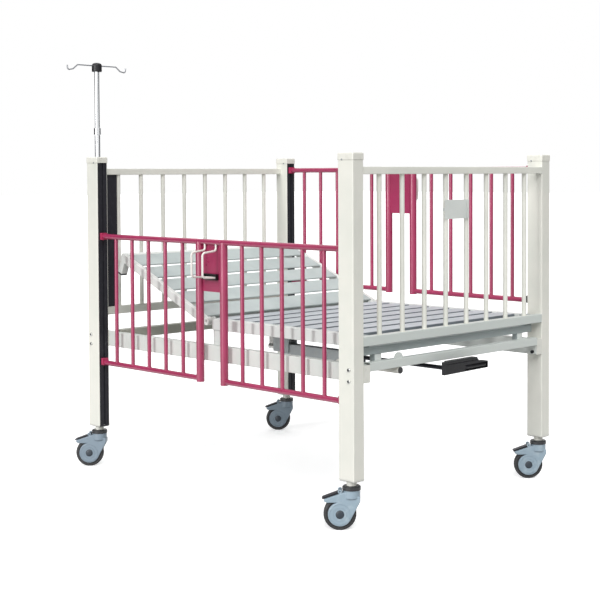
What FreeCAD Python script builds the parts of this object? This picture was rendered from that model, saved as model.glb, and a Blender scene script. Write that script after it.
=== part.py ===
import FreeCAD, Part

# Paediatric hospital cot: four posts on casters, two barred end panels, two drop-side rails,
# a slatted platform whose backrest a hand crank raises, and a telescopic infusion pole.
# Millimetres. +X is the foot end, -Y the near long side, +Z up. The pieces are drawn about the
# middle of the frame on the floor; the export moves them so that the origin is the bottom
# centre of the whole cot, infusion hooks and crank included.

import math
import os
import re

import Sketcher
from FreeCAD import Placement, Rotation, Vector

# alias, value, meaning
SIZES = (
    ("middle_y", 36, "middle of the frame from the origin, across the cot"),
    ("post_x", 716, "post centre from the middle, along the cot"),
    ("post_y", 520, "post centre from the middle, across the cot"),
    ("post_depth", 70, "post section along the cot"),
    ("post_width", 50, "post section across the cot"),
    ("post_wall", 3, "post wall"),
    ("post_bottom", 171, "underside of the posts' tubes"),
    ("foot_cap_low", 162, "underside of the caps under the posts"),
    ("foot_cap_round", 8, "radius of those caps' corners"),
    ("post_top", 1231, "top of the posts, under the caps"),
    ("post_corner", 3, "radius of the posts' long corners"),
    ("strip_width", 36, "guide strip, and the slot that it fills"),
    ("strip_flange", 21, "half width of the strip's snap-in flange"),
    ("strip_depth", 6, "guide strip through its flange"),
    ("groove_half", 4.5, "half width of the strip's running groove"),
    ("groove_depth", 3.5, "depth of the running groove"),
    ("cap_height", 24, "post cap above the post"),
    ("cap_overhang", 1.5, "post cap beyond the post all round"),
    ("cap_round", 5, "radius of the cap's upper edges"),
    ("spigot_depth", 54, "cap spigot along the cot"),
    ("spigot_width", 40, "cap spigot across the cot"),
    ("spigot_length", 22, "cap spigot inside the post"),
    ("panel_face", 751, "outer face of the end panels"),
    ("panel_depth", 30, "end panel rails along the cot"),
    ("panel_span", 495, "half length of the end panel rails"),
    ("tube_wall", 2, "wall of the rectangular tubes"),
    ("tube_corner", 2.5, "radius of their long corners"),
    ("top_rail_low", 1183, "underside of the end panels' top rails"),
    ("top_rail_high", 1208, "top of the end panels' top rails"),
    ("low_rail_low", 611, "underside of the end panels' lower rails"),
    ("low_rail_high", 643, "top of the end panels' lower rails"),
    ("panel_bar", 8.5, "radius of the end panels' bars"),
    ("bar_wall", 1.5, "wall of all round bars"),
    ("panel_pitch", 115, "pitch of those bars"),
    ("infill_inner", 411.5, "side infill's edge at the first bar"),
    ("infill_sheet", 5, "side infill's thickness"),
    ("card_left", 72, "card holder's edge on the near side"),
    ("card_right", 56, "card holder's edge on the far side"),
    ("card_low", 1023, "card holder's lower edge"),
    ("card_high", 1091, "card holder's upper edge"),
    ("card_sheet", 1.5, "card holder's sheet"),
    ("card_fold", 4.2, "folded edge's height"),
    ("card_return", 9, "folded edge's width"),
    ("card_clip", 12, "height of the clips round the bars"),
    ("base_high", 555, "top of the base frame's cross-members"),
    ("base_rail_high", 548, "top of its side rails"),
    ("base_low", 489, "underside of its side rails"),
    ("base_outer", 495, "outer face of its side rails"),
    ("base_inner", 465, "inner face of its side rails"),
    ("base_end", 749, "end of its side rails, before the plugs"),
    ("base_wall", 2.5, "wall of the base frame's tubes"),
    ("foot_member_low", 525, "underside of the foot cross-member"),
    ("head_member_low", 517, "underside of the head cross-member"),
    ("head_member_near", 640, "head cross-member's inner face"),
    ("head_member_far", 680, "head cross-member's outer face"),
    ("lug_y", 312, "half-round lug from the middle"),
    ("lug_radius", 20, "half-round lug's radius"),
    ("lug_sheet", 6, "half-round lug's thickness"),
    ("plug_flange", 2, "tube end plug's visible flange"),
    ("plug_length", 20, "tube end plug inside its tube"),
    ("plug_gap", 0.2, "gap between a plug and its tube"),
    ("bolt_x", 730, "frame bolts along the cot"),
    ("bolt_low", 499, "lower frame bolts"),
    ("bolt_high", 537, "upper frame bolts"),
    ("bolt_shank", 4, "frame bolt's shank radius"),
    ("bolt_hole", 4.5, "radius of its holes"),
    ("bolt_head", 7, "radius of its head"),
    ("bolt_nut", 6.4, "radius of its nut"),
    ("bolt_head_high", 4.5, "height of its domed head"),
    ("bolt_nut_high", 7, "height of its nut"),
    ("deck_top", 643, "top of the platform"),
    ("deck_low", 602, "underside of the seat's side rails"),
    ("deck_outer", 470, "outer face of the platform's side rails"),
    ("deck_inner", 435, "inner face of the platform's side rails"),
    ("seat_head_end", 59, "head end of the seat's side rails, head side"),
    ("seat_foot_end", 720, "foot end of the seat's side rails"),
    ("slat_width", 84, "slat along the cot"),
    ("slat_pitch", 109, "pitch of the seat's slats"),
    ("slat_depth", 14, "seat slats' folded edges"),
    ("slat_sheet", 2, "slat's sheet"),
    ("slat_first", 72.5, "first seat slat's head edge, head side"),
    ("slat_round", 3, "radius of the slat's bends"),
    ("cross_high", 628, "top of the cross rail at the hinge"),
    ("cross_low", 603, "underside of the cross rail at the hinge"),
    ("foot_cross_low", 575, "underside of the seat's foot cross rail"),
    ("strut_y", 395, "platform struts from the middle"),
    ("strut_half", 17.5, "half width of a platform strut"),
    ("strut_near", 698, "platform strut's inner face"),
    ("strut_far", 721, "platform strut's outer face"),
    ("upright_width", 36, "hinge uprights along the cot"),
    ("hinge_x", 95, "backrest hinge from the middle, head side"),
    ("hinge_z", 632, "backrest hinge above the floor"),
    ("hinge_eye", 14, "radius of the hinge plates' eyes"),
    ("hinge_plate", 6, "hinge plate's thickness"),
    ("hinge_pin", 6, "hinge pin's radius"),
    ("pin_clearance", 0.05, "running clearance of pins and shafts"),
    ("backrest_angle", 23, "backrest's slope at rest"),
    ("backrest_length", 576, "backrest from its hinge to its head edge"),
    ("backrest_inner", 450, "inner face of the backrest's side rails"),
    ("backrest_low", 22, "side rails below the hinge axis"),
    ("backrest_high", 11, "side rails above the hinge axis"),
    ("backrest_eye", 16, "radius of the side rails' hinge ends"),
    ("backrest_head_rail", 19, "backrest's head rail along the cot"),
    ("backrest_first", 113, "first backrest slat's head edge from the hinge"),
    ("backrest_pitch", 111, "pitch of the backrest's slats"),
    ("backrest_slat", 93, "backrest slat along the cot"),
    ("backrest_fold", 5, "backrest slats' folded edges"),
    ("cross_tube_x", 40, "backrest's cross tube from the hinge"),
    ("cross_tube_z", 17, "backrest's cross tube below the hinge"),
    ("cross_tube", 12, "backrest's cross tube radius"),
    ("stub_x", 563, "backrest's feet from the hinge"),
    ("stub_half", 12.5, "half of a foot along the cot"),
    ("stub_inner", 438, "inner face of a foot"),
    ("stub_outer", 467, "outer face of a foot"),
    ("stub_length", 47.7, "foot below the side rail"),
    ("stub_pad", 7, "rubber pad under a foot"),
    ("lever_length", 80, "lift lever from the hinge to its pin"),
    ("lever_angle", 31.5, "lift lever's slope when the backrest is flat"),
    ("lever_round", 14, "radius round the lift lever's pin"),
    ("lever_plate", 5, "thickness of a lift lever plate"),
    ("lever_gap", 6, "half gap between the two lever plates"),
    ("lever_pin", 5, "lift lever's pin radius"),
    ("screw_y", 140, "lead screw and crank shaft from the middle"),
    ("screw_z", 508, "lead screw and crank shaft above the floor"),
    ("screw_radius", 7, "lead screw's radius"),
    ("screw_head", 30, "head end of the lead screw"),
    ("screw_foot", 363, "foot end of its threaded length"),
    ("shaft_radius", 7.75, "crank shaft's radius"),
    ("channel_head", -8, "head end of the guide channel"),
    ("channel_foot", 402, "foot end of the guide channel"),
    ("channel_half", 20, "half width of the guide channel"),
    ("channel_low", 485, "underside of the guide channel"),
    ("channel_wall", 3, "wall of the guide channel"),
    ("channel_lip", 7, "channel's turned-in upper edges"),
    ("hanger_near", -56, "hanger plate's head edge"),
    ("hanger_far", 30, "hanger plate's foot edge"),
    ("hanger_sheet", 4, "hanger plate's thickness"),
    ("bearing_near", 372, "thrust bearing's head face"),
    ("bearing_far", 398, "thrust bearing's foot face"),
    ("nut_middle", 150, "screw nut along the cot, at rest"),
    ("nut_half", 15, "half length of the screw nut"),
    ("nut_side", 16.6, "half width of the screw nut"),
    ("nut_low", 12, "screw nut below its axis"),
    ("nut_high", 9, "screw nut above its axis"),
    ("rod_outer", 11, "push rod's outer radius"),
    ("rod_inner", 8.5, "push rod's bore"),
    ("yoke_half", 5, "half thickness of the push rod's yoke"),
    ("yoke_width", 17, "half width of the yoke along the cot"),
    ("yoke_top", 578, "top of the yoke"),
    ("yoke_slot", 6.6, "half width of the yoke's slot"),
    ("yoke_slot_low", 544, "bottom of the yoke's slot"),
    ("yoke_slot_high", 572, "top of the yoke's slot"),
    ("arm_back", 782, "crank arm's face towards the cot"),
    ("arm_front", 808, "crank arm's outer face"),
    ("arm_near", 151, "crank arm's end at the shaft, near side"),
    ("arm_far", 93, "crank arm's outer end, far side"),
    ("arm_step", 32, "step in the crank arm's upper edge"),
    ("arm_pocket", 18, "depth of the grip's pocket"),
    ("grip_radius", 8.5, "folding grip's radius"),
    ("grip_pivot", 78, "folding grip's pivot, far side"),
    ("grip_length", 112, "folding grip from its pivot"),
    ("grip_gap", 1.2, "gap round the folded grip"),
    ("near_rail_z", 935, "near rail's top tube, lowered"),
    ("far_rail_z", 1200, "far rail's top tube, raised"),
    ("rail_half", 668, "half length of the side rails' tubes"),
    ("rail_drop", 510, "side rail's lower tube below its top tube"),
    ("rail_top", 10.5, "side rail's top tube radius"),
    ("rail_low", 10, "side rail's lower tube radius"),
    ("rail_wall", 1.8, "wall of the side rail's tubes"),
    ("rail_post", 15, "side rail's thick upright radius"),
    ("rail_post_x", 68.5, "thick uprights from the middle"),
    ("rail_post_end", 523, "lower end of the thick uprights"),
    ("rail_bar", 7.5, "side rail's bar radius"),
    ("rail_bar_first", 170, "first bar from the middle"),
    ("rail_bar_pitch", 105, "pitch of those bars"),
    ("plate_half", 53.6, "half width of the latch plate"),
    ("plate_end", 184, "latch plate's lower edge below the top tube"),
    ("plate_sheet", 3, "latch plate's sheet"),
    ("plate_back", 5, "latch plate's back behind the rail's middle"),
    ("block_left", 41, "latch block's head side"),
    ("block_right", 37, "latch block's foot side"),
    ("block_high", 117, "latch block's top below the top tube"),
    ("block_low", 139, "latch block's bottom below the top tube"),
    ("block_front", 12, "latch block in front of the rail's middle"),
    ("block_back", 2, "latch block behind the rail's middle"),
    ("block_floor", 0.5, "floor of its slot behind the rail's middle"),
    ("block_rim", 2.2, "rim round the latch block's slot"),
    ("slider_half", 14, "half height and half width of a slider"),
    ("slider_gap", 0.4, "slider clear of its strip"),
    ("tongue_half", 4, "half width of the slider's tongue"),
    ("tongue_depth", 3, "slider's tongue inside the groove"),
    ("wire_radius", 4, "latch handle's wire radius"),
    ("wire_bend", 12, "latch handle's bend radius"),
    ("wire_bend_foot", 5, "bend radius at its cross wire"),
    ("wire_left", 33, "latch handle's head side"),
    ("wire_right", 30, "latch handle's foot side"),
    ("wire_y", 4, "its upright ends and cross wire in front of the rail's middle"),
    ("wire_out", 68, "its grip in front of the rail's middle"),
    ("wire_top", 6, "its ends inside the top tube, below that tube's axis"),
    ("wire_hook", 31, "its upper corners below the top tube"),
    ("wire_shoulder", 38, "top of its grip below the top tube"),
    ("wire_grip_end", 127, "bottom of its grip below the top tube"),
    ("wire_foot", 131, "its cross wire below the top tube"),
    ("wire_hole", 5, "radius of its holes in the top tube"),
    ("pole_x", 710, "infusion pole from the middle, head side"),
    ("pole_low", 980, "lower tube's end inside the post"),
    ("pole_join", 1358, "middle of the pole's collar"),
    ("pole_lower", 11, "lower tube's radius"),
    ("pole_upper", 10, "upper tube's radius"),
    ("pole_upper_low", 1100, "upper tube's end inside the lower tube"),
    ("pole_top", 1606, "top of the upper tube"),
    ("pole_wall", 1.2, "upper tube's wall"),
    ("collar_radius", 14, "collar's radius"),
    ("collar_half", 15, "collar's half height"),
    ("hub_radius", 20, "hook hub's radius"),
    ("hub_low", 1598, "hook hub's underside"),
    ("hub_high", 1634, "hook hub's top"),
    ("hook_wire", 2.75, "infusion hook's wire radius"),
    ("hook_bend", 7, "infusion hook's bend radius"),
    ("caster_heading", 224.3, "direction in which the casters trail"),
    ("wheel_radius", 55, "caster wheel's radius"),
    ("wheel_trail", 39, "wheel behind the swivel axis"),
    ("tyre_inner", 41, "tyre's inner radius"),
    ("tyre_half", 14.5, "half width of the tyre"),
    ("rim_half", 13, "half width of the wheel's rim"),
    ("rim_web", 4, "half width of the wheel's web"),
    ("rim_band", 34, "inner radius of the wheel's rim"),
    ("hub_boss", 13, "wheel's hub radius"),
    ("hub_half", 16, "half width of the wheel's hub"),
    ("axle_radius", 5, "axle's radius"),
    ("axle_cap", 13, "axle cap's radius"),
    ("axle_cap_high", 3, "axle cap outside the fork"),
    ("fork_half", 22, "half width of the fork"),
    ("fork_well", 16.8, "half width of the wheel's well"),
    ("fork_round", 3, "radius of the fork's outer edges"),
    ("fork_clear", 58.5, "radius of the wheel's well"),
    ("fork_disc", 40, "radius of the fork round the axle"),
    ("fork_top", 134, "top of the fork"),
    ("fork_neck", 29, "radius of the fork under the ring"),
    ("fork_front", 98, "height at which the fork's front tapers in"),
    ("fender_start", 127, "height of the fender at the neck"),
    ("fender_tip_x", 92, "fender's tip behind the swivel axis"),
    ("fender_tip_z", 106, "height of the fender's tip"),
    ("fender_thick", 7, "fender's thickness at its tip"),
    ("fork_bore_low", 106, "bottom of the king pin's bore"),
    ("king_pin", 8, "king pin's radius"),
    ("ring_radius", 31, "ring over the fork"),
    ("ring_low", 134.4, "underside of that ring"),
    ("ring_high", 148, "top of that ring"),
    ("stem_radius", 17, "stem between the ring and the post"),
    ("stem_plug", 19.5, "stem's plug inside the post"),
    ("stem_top", 215, "top of that plug"),
    ("pedal_x", 39, "brake pedal's pivot behind the swivel axis"),
    ("pedal_z", 131, "brake pedal's pivot above the floor"),
    ("pedal_boss", 3.6, "brake pedal's boss radius"),
    ("pedal_pin", 2.2, "brake pedal's pin radius"),
    ("pedal_half", 14, "half width of the brake pedal"),
    ("pedal_tip_x", 97, "brake pedal's tip"),
    ("pedal_thick", 4.5, "brake pedal's thickness"),
    ("ear_outer", 19, "outer face of the pedal's ears"),
    ("ear_inner", 14.6, "inner face of the pedal's ears"),
)

ALIASES = {alias for alias, _, _ in SIZES}
OUTPUT = "parts"
SIDES = {"foot": 1, "head": -1}
CASTERS = {
    "near_foot": (1, -1),
    "far_foot": (1, 1),
    "near_head": (-1, -1),
    "far_head": (-1, 1),
}
PLANE_NORMAL = {"XY_Plane": 1, "XZ_Plane": -1, "YZ_Plane": 1}

doc = FreeCAD.newDocument("HospitalCot")
nodes = []


def build_sheet():
    """Fill the spreadsheet: what each size is, its number and its alias."""
    sheet = doc.addObject("Spreadsheet::Sheet", "Sizes")
    for row, (alias, value, meaning) in enumerate(SIZES, start=1):
        sheet.set(f"A{row}", meaning)
        sheet.set(f"B{row}", str(value))
        sheet.setAlias(f"B{row}", alias)
    doc.recompute()
    return sheet


sizes = build_sheet()


def formula(text):
    """Return an expression in which each alias is read from the spreadsheet."""
    return re.sub(
        r"[a-z][a-z_]*",
        lambda match: f"Sizes.{match.group()}" if match.group() in ALIASES else match.group(),
        str(text),
    )


def value(text):
    """Return what an expression in the sheet's aliases comes to."""
    return float(sizes.evalExpression(str(text)))


def bind(thing, **properties):
    """Bind properties to expressions; a double underscore stands for a dot."""
    for name, text in properties.items():
        thing.setExpression(name.replace("__", "."), formula(text))


def bind_constraint(sketch, constraint, name, text):
    """Add a named constraint and bind it to an expression."""
    index = sketch.addConstraint(constraint)
    sketch.renameConstraint(index, name)
    sketch.setExpression(f"Constraints.{name}", formula(text))


def pin_point(sketch, item, end, x, y):
    """Fix one end or the centre of a sketch item at (x, y), both expressions."""
    at = {"DistanceX": x, "DistanceY": y}
    for kind, text in at.items():
        constraint = Sketcher.Constraint(kind, -1, 1, item, end, value(text))
        bind_constraint(sketch, constraint, f"{kind[-1].lower()}{item}", text)


def polygon(sketch, points):
    """Draw a closed outline through points given as pairs of expressions."""
    first = sketch.GeometryCount
    count = len(points)
    places = [Vector(value(x), value(y), 0) for x, y in points]
    for index in range(count):
        line = Part.LineSegment(places[index], places[(index + 1) % count])
        sketch.addGeometry(line, False)
    for index in range(count):
        after = first + (index + 1) % count
        sketch.addConstraint(Sketcher.Constraint("Coincident", first + index, 2, after, 1))
    for index, (x, y) in enumerate(points):
        pin_point(sketch, first + index, 1, x, y)


def rectangle(sketch, left, right, low, high):
    """Draw a rectangle between four expressions."""
    polygon(sketch, ((left, low), (right, low), (right, high), (left, high)))


def circle(sketch, x, y, radius):
    """Draw a circle; centre and radius are expressions."""
    centre = Vector(value(x), value(y), 0)
    item = sketch.addGeometry(Part.Circle(centre, Vector(0, 0, 1), value(radius)), False)
    pin_point(sketch, item, 3, x, y)
    constraint = Sketcher.Constraint("Radius", item, value(radius))
    bind_constraint(sketch, constraint, f"radius{item}", radius)


def runs_along(axis, edge):
    """Tell whether an edge is straight and parallel to a unit vector."""
    if edge.Curve.TypeId != "Part::GeomLine":
        return False
    return abs(abs(edge.Curve.Direction.dot(axis)) - 1) < 1e-6


class Piece:
    """A PartDesign body, with the sketches and features that shape it."""

    def __init__(self, label):
        self.body = doc.addObject("PartDesign::Body", label)
        self.body.Label = label

    def origin(self, role):
        """Return one of the body's own origin planes or axes."""
        return next(item for item in self.body.Origin.OriginFeatures if item.Role == role)

    def sketch(self, plane, at="0", origin=("0", "0")):
        """Start a sketch on an origin plane, moved along its axis to `at`."""
        sketch = self.body.newObject("Sketcher::SketchObject", "Sketch")
        sketch.AttachmentSupport = [(self.origin(plane), "")]
        sketch.MapMode = "FlatFace"
        sign = "-1 *" if PLANE_NORMAL[plane] < 0 else ""
        bind(
            sketch,
            AttachmentOffset__Base__x=origin[0],
            AttachmentOffset__Base__y=origin[1],
            AttachmentOffset__Base__z=f"{sign} ({at})",
        )
        return sketch

    def pad(self, sketch, length, symmetric=False, backwards=False):
        """Extrude a sketch along the positive axis of its plane."""
        pad = self.body.newObject("PartDesign::Pad", "Pad")
        pad.Profile = sketch
        pad.SideType = "Symmetric" if symmetric else "One side"
        plane = sketch.AttachmentSupport[0][0].Role
        pad.Reversed = (PLANE_NORMAL[plane] < 0) != backwards
        bind(pad, Length=length)
        return self.finish(pad)

    def pocket(self, sketch, length=None, backwards=False):
        """Cut a sketch through everything, or to a depth along its axis."""
        before = self.body.Tip.Shape.Volume
        pocket = self.body.newObject("PartDesign::Pocket", "Pocket")
        pocket.Profile = sketch
        if length is None:
            pocket.Type = "ThroughAll"
            pocket.SideType = "Symmetric"
        else:
            plane = sketch.AttachmentSupport[0][0].Role
            pocket.Reversed = (PLANE_NORMAL[plane] > 0) != backwards
            bind(pocket, Length=length)
        self.finish(pocket)
        if pocket.Shape.Volume > before - 1e-6:
            raise RuntimeError(f"{self.body.Label}: a pocket cuts nothing")
        return pocket

    def revolve(self, sketch, axis="V_Axis"):
        """Turn a sketch once round one of its own axes."""
        turned = self.body.newObject("PartDesign::Revolution", "Revolution")
        turned.Profile = sketch
        turned.ReferenceAxis = (sketch, [axis])
        turned.Angle = 360
        return self.finish(turned)

    def mirror(self, plane):
        """Mirror the whole body in one of its origin planes."""
        mirrored = self.body.newObject("PartDesign::Mirrored", "Mirrored")
        mirrored.TransformMode = "Whole shape"
        mirrored.MirrorPlane = (self.origin(plane), [""])
        return self.finish(mirrored)

    def repeat(self, axis, pitch, count, backwards=False):
        """Repeat the whole body along one of its origin axes."""
        pattern = self.body.newObject("PartDesign::LinearPattern", "Pattern")
        pattern.TransformMode = "Whole shape"
        pattern.Direction = (self.origin(axis), [""])
        pattern.Mode = "Spacing"
        pattern.Reversed = backwards
        pattern.Occurrences = count
        bind(pattern, Offset=pitch)
        return self.finish(pattern)

    def fillet(self, radius, chosen):
        """Round the edges for which `chosen` is true."""
        return self.dress("PartDesign::Fillet", "Radius", radius, chosen)

    def chamfer(self, size, chosen):
        """Bevel the edges for which `chosen` is true."""
        return self.dress("PartDesign::Chamfer", "Size", size, chosen)

    def dress(self, kind, size_name, size, chosen):
        """Add a fillet or a chamfer to the tip's chosen edges."""
        base = self.body.Tip
        names = [f"Edge{i}" for i, edge in enumerate(base.Shape.Edges, 1) if chosen(edge)]
        if not names:
            raise RuntimeError(f"{self.body.Label}: no edge to dress")
        feature = self.body.newObject(kind, kind.split("::")[1])
        feature.Base = (base, names)
        bind(feature, **{size_name: size})
        return self.finish(feature)

    def finish(self, feature):
        """Make a feature the tip and recompute the body."""
        self.body.Tip = feature
        doc.recompute()
        return feature

    def place(self, x="0", y="0", z="0", axis=Vector(0, 0, 1), angle=0.0):
        """Put the body in the cot's frame."""
        self.body.Placement = Placement(Vector(value(x), value(y), value(z)), Rotation(axis, angle))
        bind(self.body, Placement__Base__x=x, Placement__Base__y=y, Placement__Base__z=z)
        return self

    def keep(self):
        """Count the body as a finished node."""
        nodes.append(self.body)
        return self


def group(label, *pieces):
    """Keep several solids that make up one node, without fusing them."""
    compound = doc.addObject("Part::Compound", label)
    compound.Label = label
    compound.Links = [piece.body if isinstance(piece, Piece) else piece for piece in pieces]
    doc.recompute()
    nodes.append(compound)
    return compound


def hollow_along_x(label, x0, x1, y0, y1, z0, z1, wall, corner="tube_corner"):
    """Make a rectangular tube along X with rounded long corners."""
    piece = Piece(label)
    outer = piece.sketch("YZ_Plane", at=x0)
    rectangle(outer, y0, y1, z0, z1)
    piece.pad(outer, f"{x1} - ({x0})")
    piece.fillet(corner, lambda edge: runs_along(Vector(1, 0, 0), edge))
    bore = piece.sketch("YZ_Plane")
    rectangle(bore, f"{y0} + {wall}", f"{y1} - {wall}", f"{z0} + {wall}", f"{z1} - {wall}")
    piece.pocket(bore)
    return piece


def hollow_along_y(label, x0, x1, span, z0, z1, wall, corner="tube_corner"):
    """Make a rectangular tube along Y, as long on both sides of the middle."""
    piece = Piece(label)
    outer = piece.sketch("XZ_Plane")
    rectangle(outer, x0, x1, z0, z1)
    piece.pad(outer, f"2 * {span}", symmetric=True)
    piece.fillet(corner, lambda edge: runs_along(Vector(0, 1, 0), edge))
    bore = piece.sketch("XZ_Plane")
    rectangle(bore, f"{x0} + {wall}", f"{x1} - {wall}", f"{z0} + {wall}", f"{z1} - {wall}")
    piece.pocket(bore)
    return piece


def upright_block(label, x0, x1, y0, y1, z0, z1):
    """Make a solid block and its mirror image on the other long side."""
    piece = Piece(label)
    outline = piece.sketch("XY_Plane", at=z0)
    rectangle(outline, x0, x1, y0, y1)
    piece.pad(outline, f"{z1} - ({z0})")
    piece.fillet("2", lambda edge: runs_along(Vector(0, 0, 1), edge))
    piece.mirror("XZ_Plane")
    return piece


def rounded_path(points, bends):
    """Return a wire through points, each corner rounded by an arc of its own radius."""
    edges = []
    start = points[0]
    for bend, before, corner, after in zip(bends, points, points[1:], points[2:]):
        back = (before - corner).normalize()
        ahead = (after - corner).normalize()
        half = back.getAngle(ahead) / 2
        leave = corner + back * (bend / math.tan(half))
        rejoin = corner + ahead * (bend / math.tan(half))
        middle = corner + (back + ahead).normalize() * (bend / math.sin(half) - bend)
        edges.append(Part.LineSegment(start, leave).toShape())
        edges.append(Part.Arc(leave, middle, rejoin).toShape())
        start = rejoin
    edges.append(Part.LineSegment(start, points[-1]).toShape())
    return Part.Wire(edges)


def bent_wire(label, points, radius, bends):
    """Sweep a round wire along a rounded path, as a plain feature."""
    path = rounded_path(points, bends)
    ring = Part.Wire(Part.Circle(points[0], points[1] - points[0], radius).toShape())
    feature = doc.addObject("Part::Feature", label)
    feature.Label = label
    feature.Shape = path.makePipeShell([ring], True, False)
    nodes.append(feature)
    return feature


# ---------------------------------------------------------------- posts, strips and caps


def build_posts(end):
    """Two post profiles, open towards the bed for the guide strip, with their bolt holes."""
    side = SIDES[end]
    inner = f"{side} * (post_x - post_depth / 2)"
    outer = f"{side} * (post_x + post_depth / 2)"
    inside = f"{side} * (post_x - post_depth / 2 + post_wall)"
    outside = f"{side} * (post_x + post_depth / 2 - post_wall)"
    edge = "post_width / 2"
    slot = "strip_width / 2"
    bore = "post_width / 2 - post_wall"
    half = ((inner, slot), (inner, edge), (outer, edge))
    cavity = ((outside, bore), (inside, bore), (inside, slot))
    points = [(x, f"post_y + {y}") for x, y in half]
    points += [(x, f"post_y - ({y})") for x, y in reversed(half)]
    points += [(x, f"post_y - ({y})") for x, y in reversed(cavity)]
    points += [(x, f"post_y + {y}") for x, y in cavity]
    piece = Piece(f"{end}_posts")
    section = piece.sketch("XY_Plane", at="post_bottom")
    polygon(section, points)
    piece.pad(section, "post_top - post_bottom")
    far_x = value(outer)
    near_x = value(inner)
    reach = value("post_width / 2")

    def is_corner(corner):
        middle = corner.CenterOfMass
        at_face = min(abs(middle.x - far_x), abs(middle.x - near_x)) < 0.1
        at_side = abs(abs(middle.y - value("post_y")) - reach) < 0.1
        return at_face and at_side and runs_along(Vector(0, 0, 1), corner)

    piece.fillet("post_corner", is_corner)
    piece.mirror("XZ_Plane")
    holes = piece.sketch("XZ_Plane")
    for height in ("bolt_low", "bolt_high"):
        circle(holes, f"{side} * bolt_x", height, "bolt_hole")
    piece.pocket(holes)
    piece.keep()


def build_guide_strips():
    """Black snap-in strips that fill the posts' slots and carry the running groove."""
    piece = Piece("rail_guide_strips")
    face = "post_x - post_depth / 2"
    half = (
        (face, "strip_width / 2"),
        (f"{face} + post_wall", "strip_width / 2"),
        (f"{face} + post_wall", "strip_flange"),
        (f"{face} + strip_depth", "strip_flange"),
    )
    groove = ((f"{face} + groove_depth", "groove_half"), (face, "groove_half"))
    points = [(x, f"post_y + {y}") for x, y in half]
    points += [(x, f"post_y - {y}") for x, y in reversed(half)]
    points += [(x, f"post_y - {y}") for x, y in reversed(groove)]
    points += [(x, f"post_y + {y}") for x, y in groove]
    section = piece.sketch("XY_Plane", at="post_bottom")
    polygon(section, points)
    piece.pad(section, "post_top - post_bottom")
    piece.mirror("XZ_Plane")
    piece.mirror("YZ_Plane")
    piece.keep()


def build_cap(label, x_side, y_side, pole_bore):
    """One post cap with its spigot, bored for the infusion pole where asked."""
    piece = Piece(label)
    top = piece.sketch("XY_Plane")
    across = "post_width / 2 + cap_overhang"
    along = "post_depth / 2 + cap_overhang"
    rectangle(top, f"-({along})", along, f"-({across})", across)
    piece.pad(top, "cap_height")
    piece.fillet("post_corner", lambda edge: runs_along(Vector(0, 0, 1), edge))
    height = value("cap_height")
    piece.fillet("cap_round", lambda edge: edge.CenterOfMass.z > height - 0.01)
    spigot = piece.sketch("XY_Plane")
    shift = f"{x_side} * 2"
    rectangle(
        spigot,
        f"{shift} - spigot_depth / 2",
        f"{shift} + spigot_depth / 2",
        "-spigot_width / 2",
        "spigot_width / 2",
    )
    piece.pad(spigot, "spigot_length", backwards=True)
    if pole_bore:
        bore = piece.sketch("XY_Plane")
        circle(bore, "post_x - pole_x", "0", "pole_lower")
        piece.pocket(bore)
    return piece.place(f"{x_side} * post_x", f"{y_side} * post_y", "post_top")


def build_caps():
    """Four post caps in one node; the near one at the head end holds the pole."""
    caps = [
        build_cap(f"cap_{name}", x_side, y_side, name == "near_head")
        for name, (x_side, y_side) in CASTERS.items()
    ]
    group("post_caps", *caps)


# ---------------------------------------------------------------------------- end panels


def build_panel(end):
    """Two rectangular rails and eight round bars between a pair of posts."""
    side = SIDES[end]
    faces = ["panel_face - panel_depth", "panel_face"]
    if side < 0:
        faces = [f"-({face})" for face in reversed(faces)]
    rails = [
        hollow_along_y(f"{end}_{name}_rail", *faces, "panel_span", low, high, "tube_wall")
        for name, low, high in (
            ("top", "top_rail_low", "top_rail_high"),
            ("lower", "low_rail_low", "low_rail_high"),
        )
    ]
    bars = Piece(f"{end}_panel_bars")
    section = bars.sketch("XY_Plane", at="low_rail_high")
    for radius in ("panel_bar", "panel_bar - bar_wall"):
        circle(section, f"{side} * (panel_face - panel_depth / 2 - 1)", "-3.5 * panel_pitch", radius)
    bars.pad(section, "top_rail_low - low_rail_high")
    bars.repeat("Y_Axis", "panel_pitch", 8)
    group(f"{end}board_grid", *rails, bars)


def build_side_infill():
    """Narrow black panel between the near head post and the first bar."""
    piece = Piece("headboard_side_infill")
    section = piece.sketch("XY_Plane", at="low_rail_high")
    middle = "(panel_face - panel_depth / 2 - 1)"
    rectangle(
        section,
        f"-{middle} - infill_sheet / 2",
        f"-{middle} + infill_sheet / 2",
        "-panel_span",
        "-infill_inner",
    )
    piece.pad(section, "top_rail_low - low_rail_high")
    piece.keep()


def build_card_holder():
    """Blank sheet with one folded edge, held to two bars by closed clips."""
    piece = Piece("card_holder")
    bar = "(panel_face - panel_depth / 2 - 1)"
    back = f"{bar} + panel_bar + 0.6"
    front = f"{back} + card_sheet"
    section = piece.sketch("XY_Plane", at="card_low")
    polygon(
        section,
        (
            (back, "-card_left"),
            (back, "card_right"),
            (f"{front} + card_fold", "card_right"),
            (f"{front} + card_fold", "card_right - card_return"),
            (f"{front} + card_fold - card_sheet", "card_right - card_return"),
            (f"{front} + card_fold - card_sheet", "card_right - card_sheet"),
            (front, "card_right - card_sheet"),
            (front, "-card_left"),
        ),
    )
    piece.pad(section, "card_high - card_low")
    clips = piece.sketch("XY_Plane", at="(card_low + card_high - card_clip) / 2")
    for y in ("-panel_pitch / 2", "panel_pitch / 2"):
        circle(clips, bar, y, "panel_bar + 1.7")
    piece.pad(clips, "card_clip")
    bores = piece.sketch("XY_Plane")
    for y in ("-panel_pitch / 2", "panel_pitch / 2"):
        circle(bores, bar, y, "panel_bar + 0.1")
    piece.pocket(bores)
    piece.keep()


# ---------------------------------------------------------------------------- base frame


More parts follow.
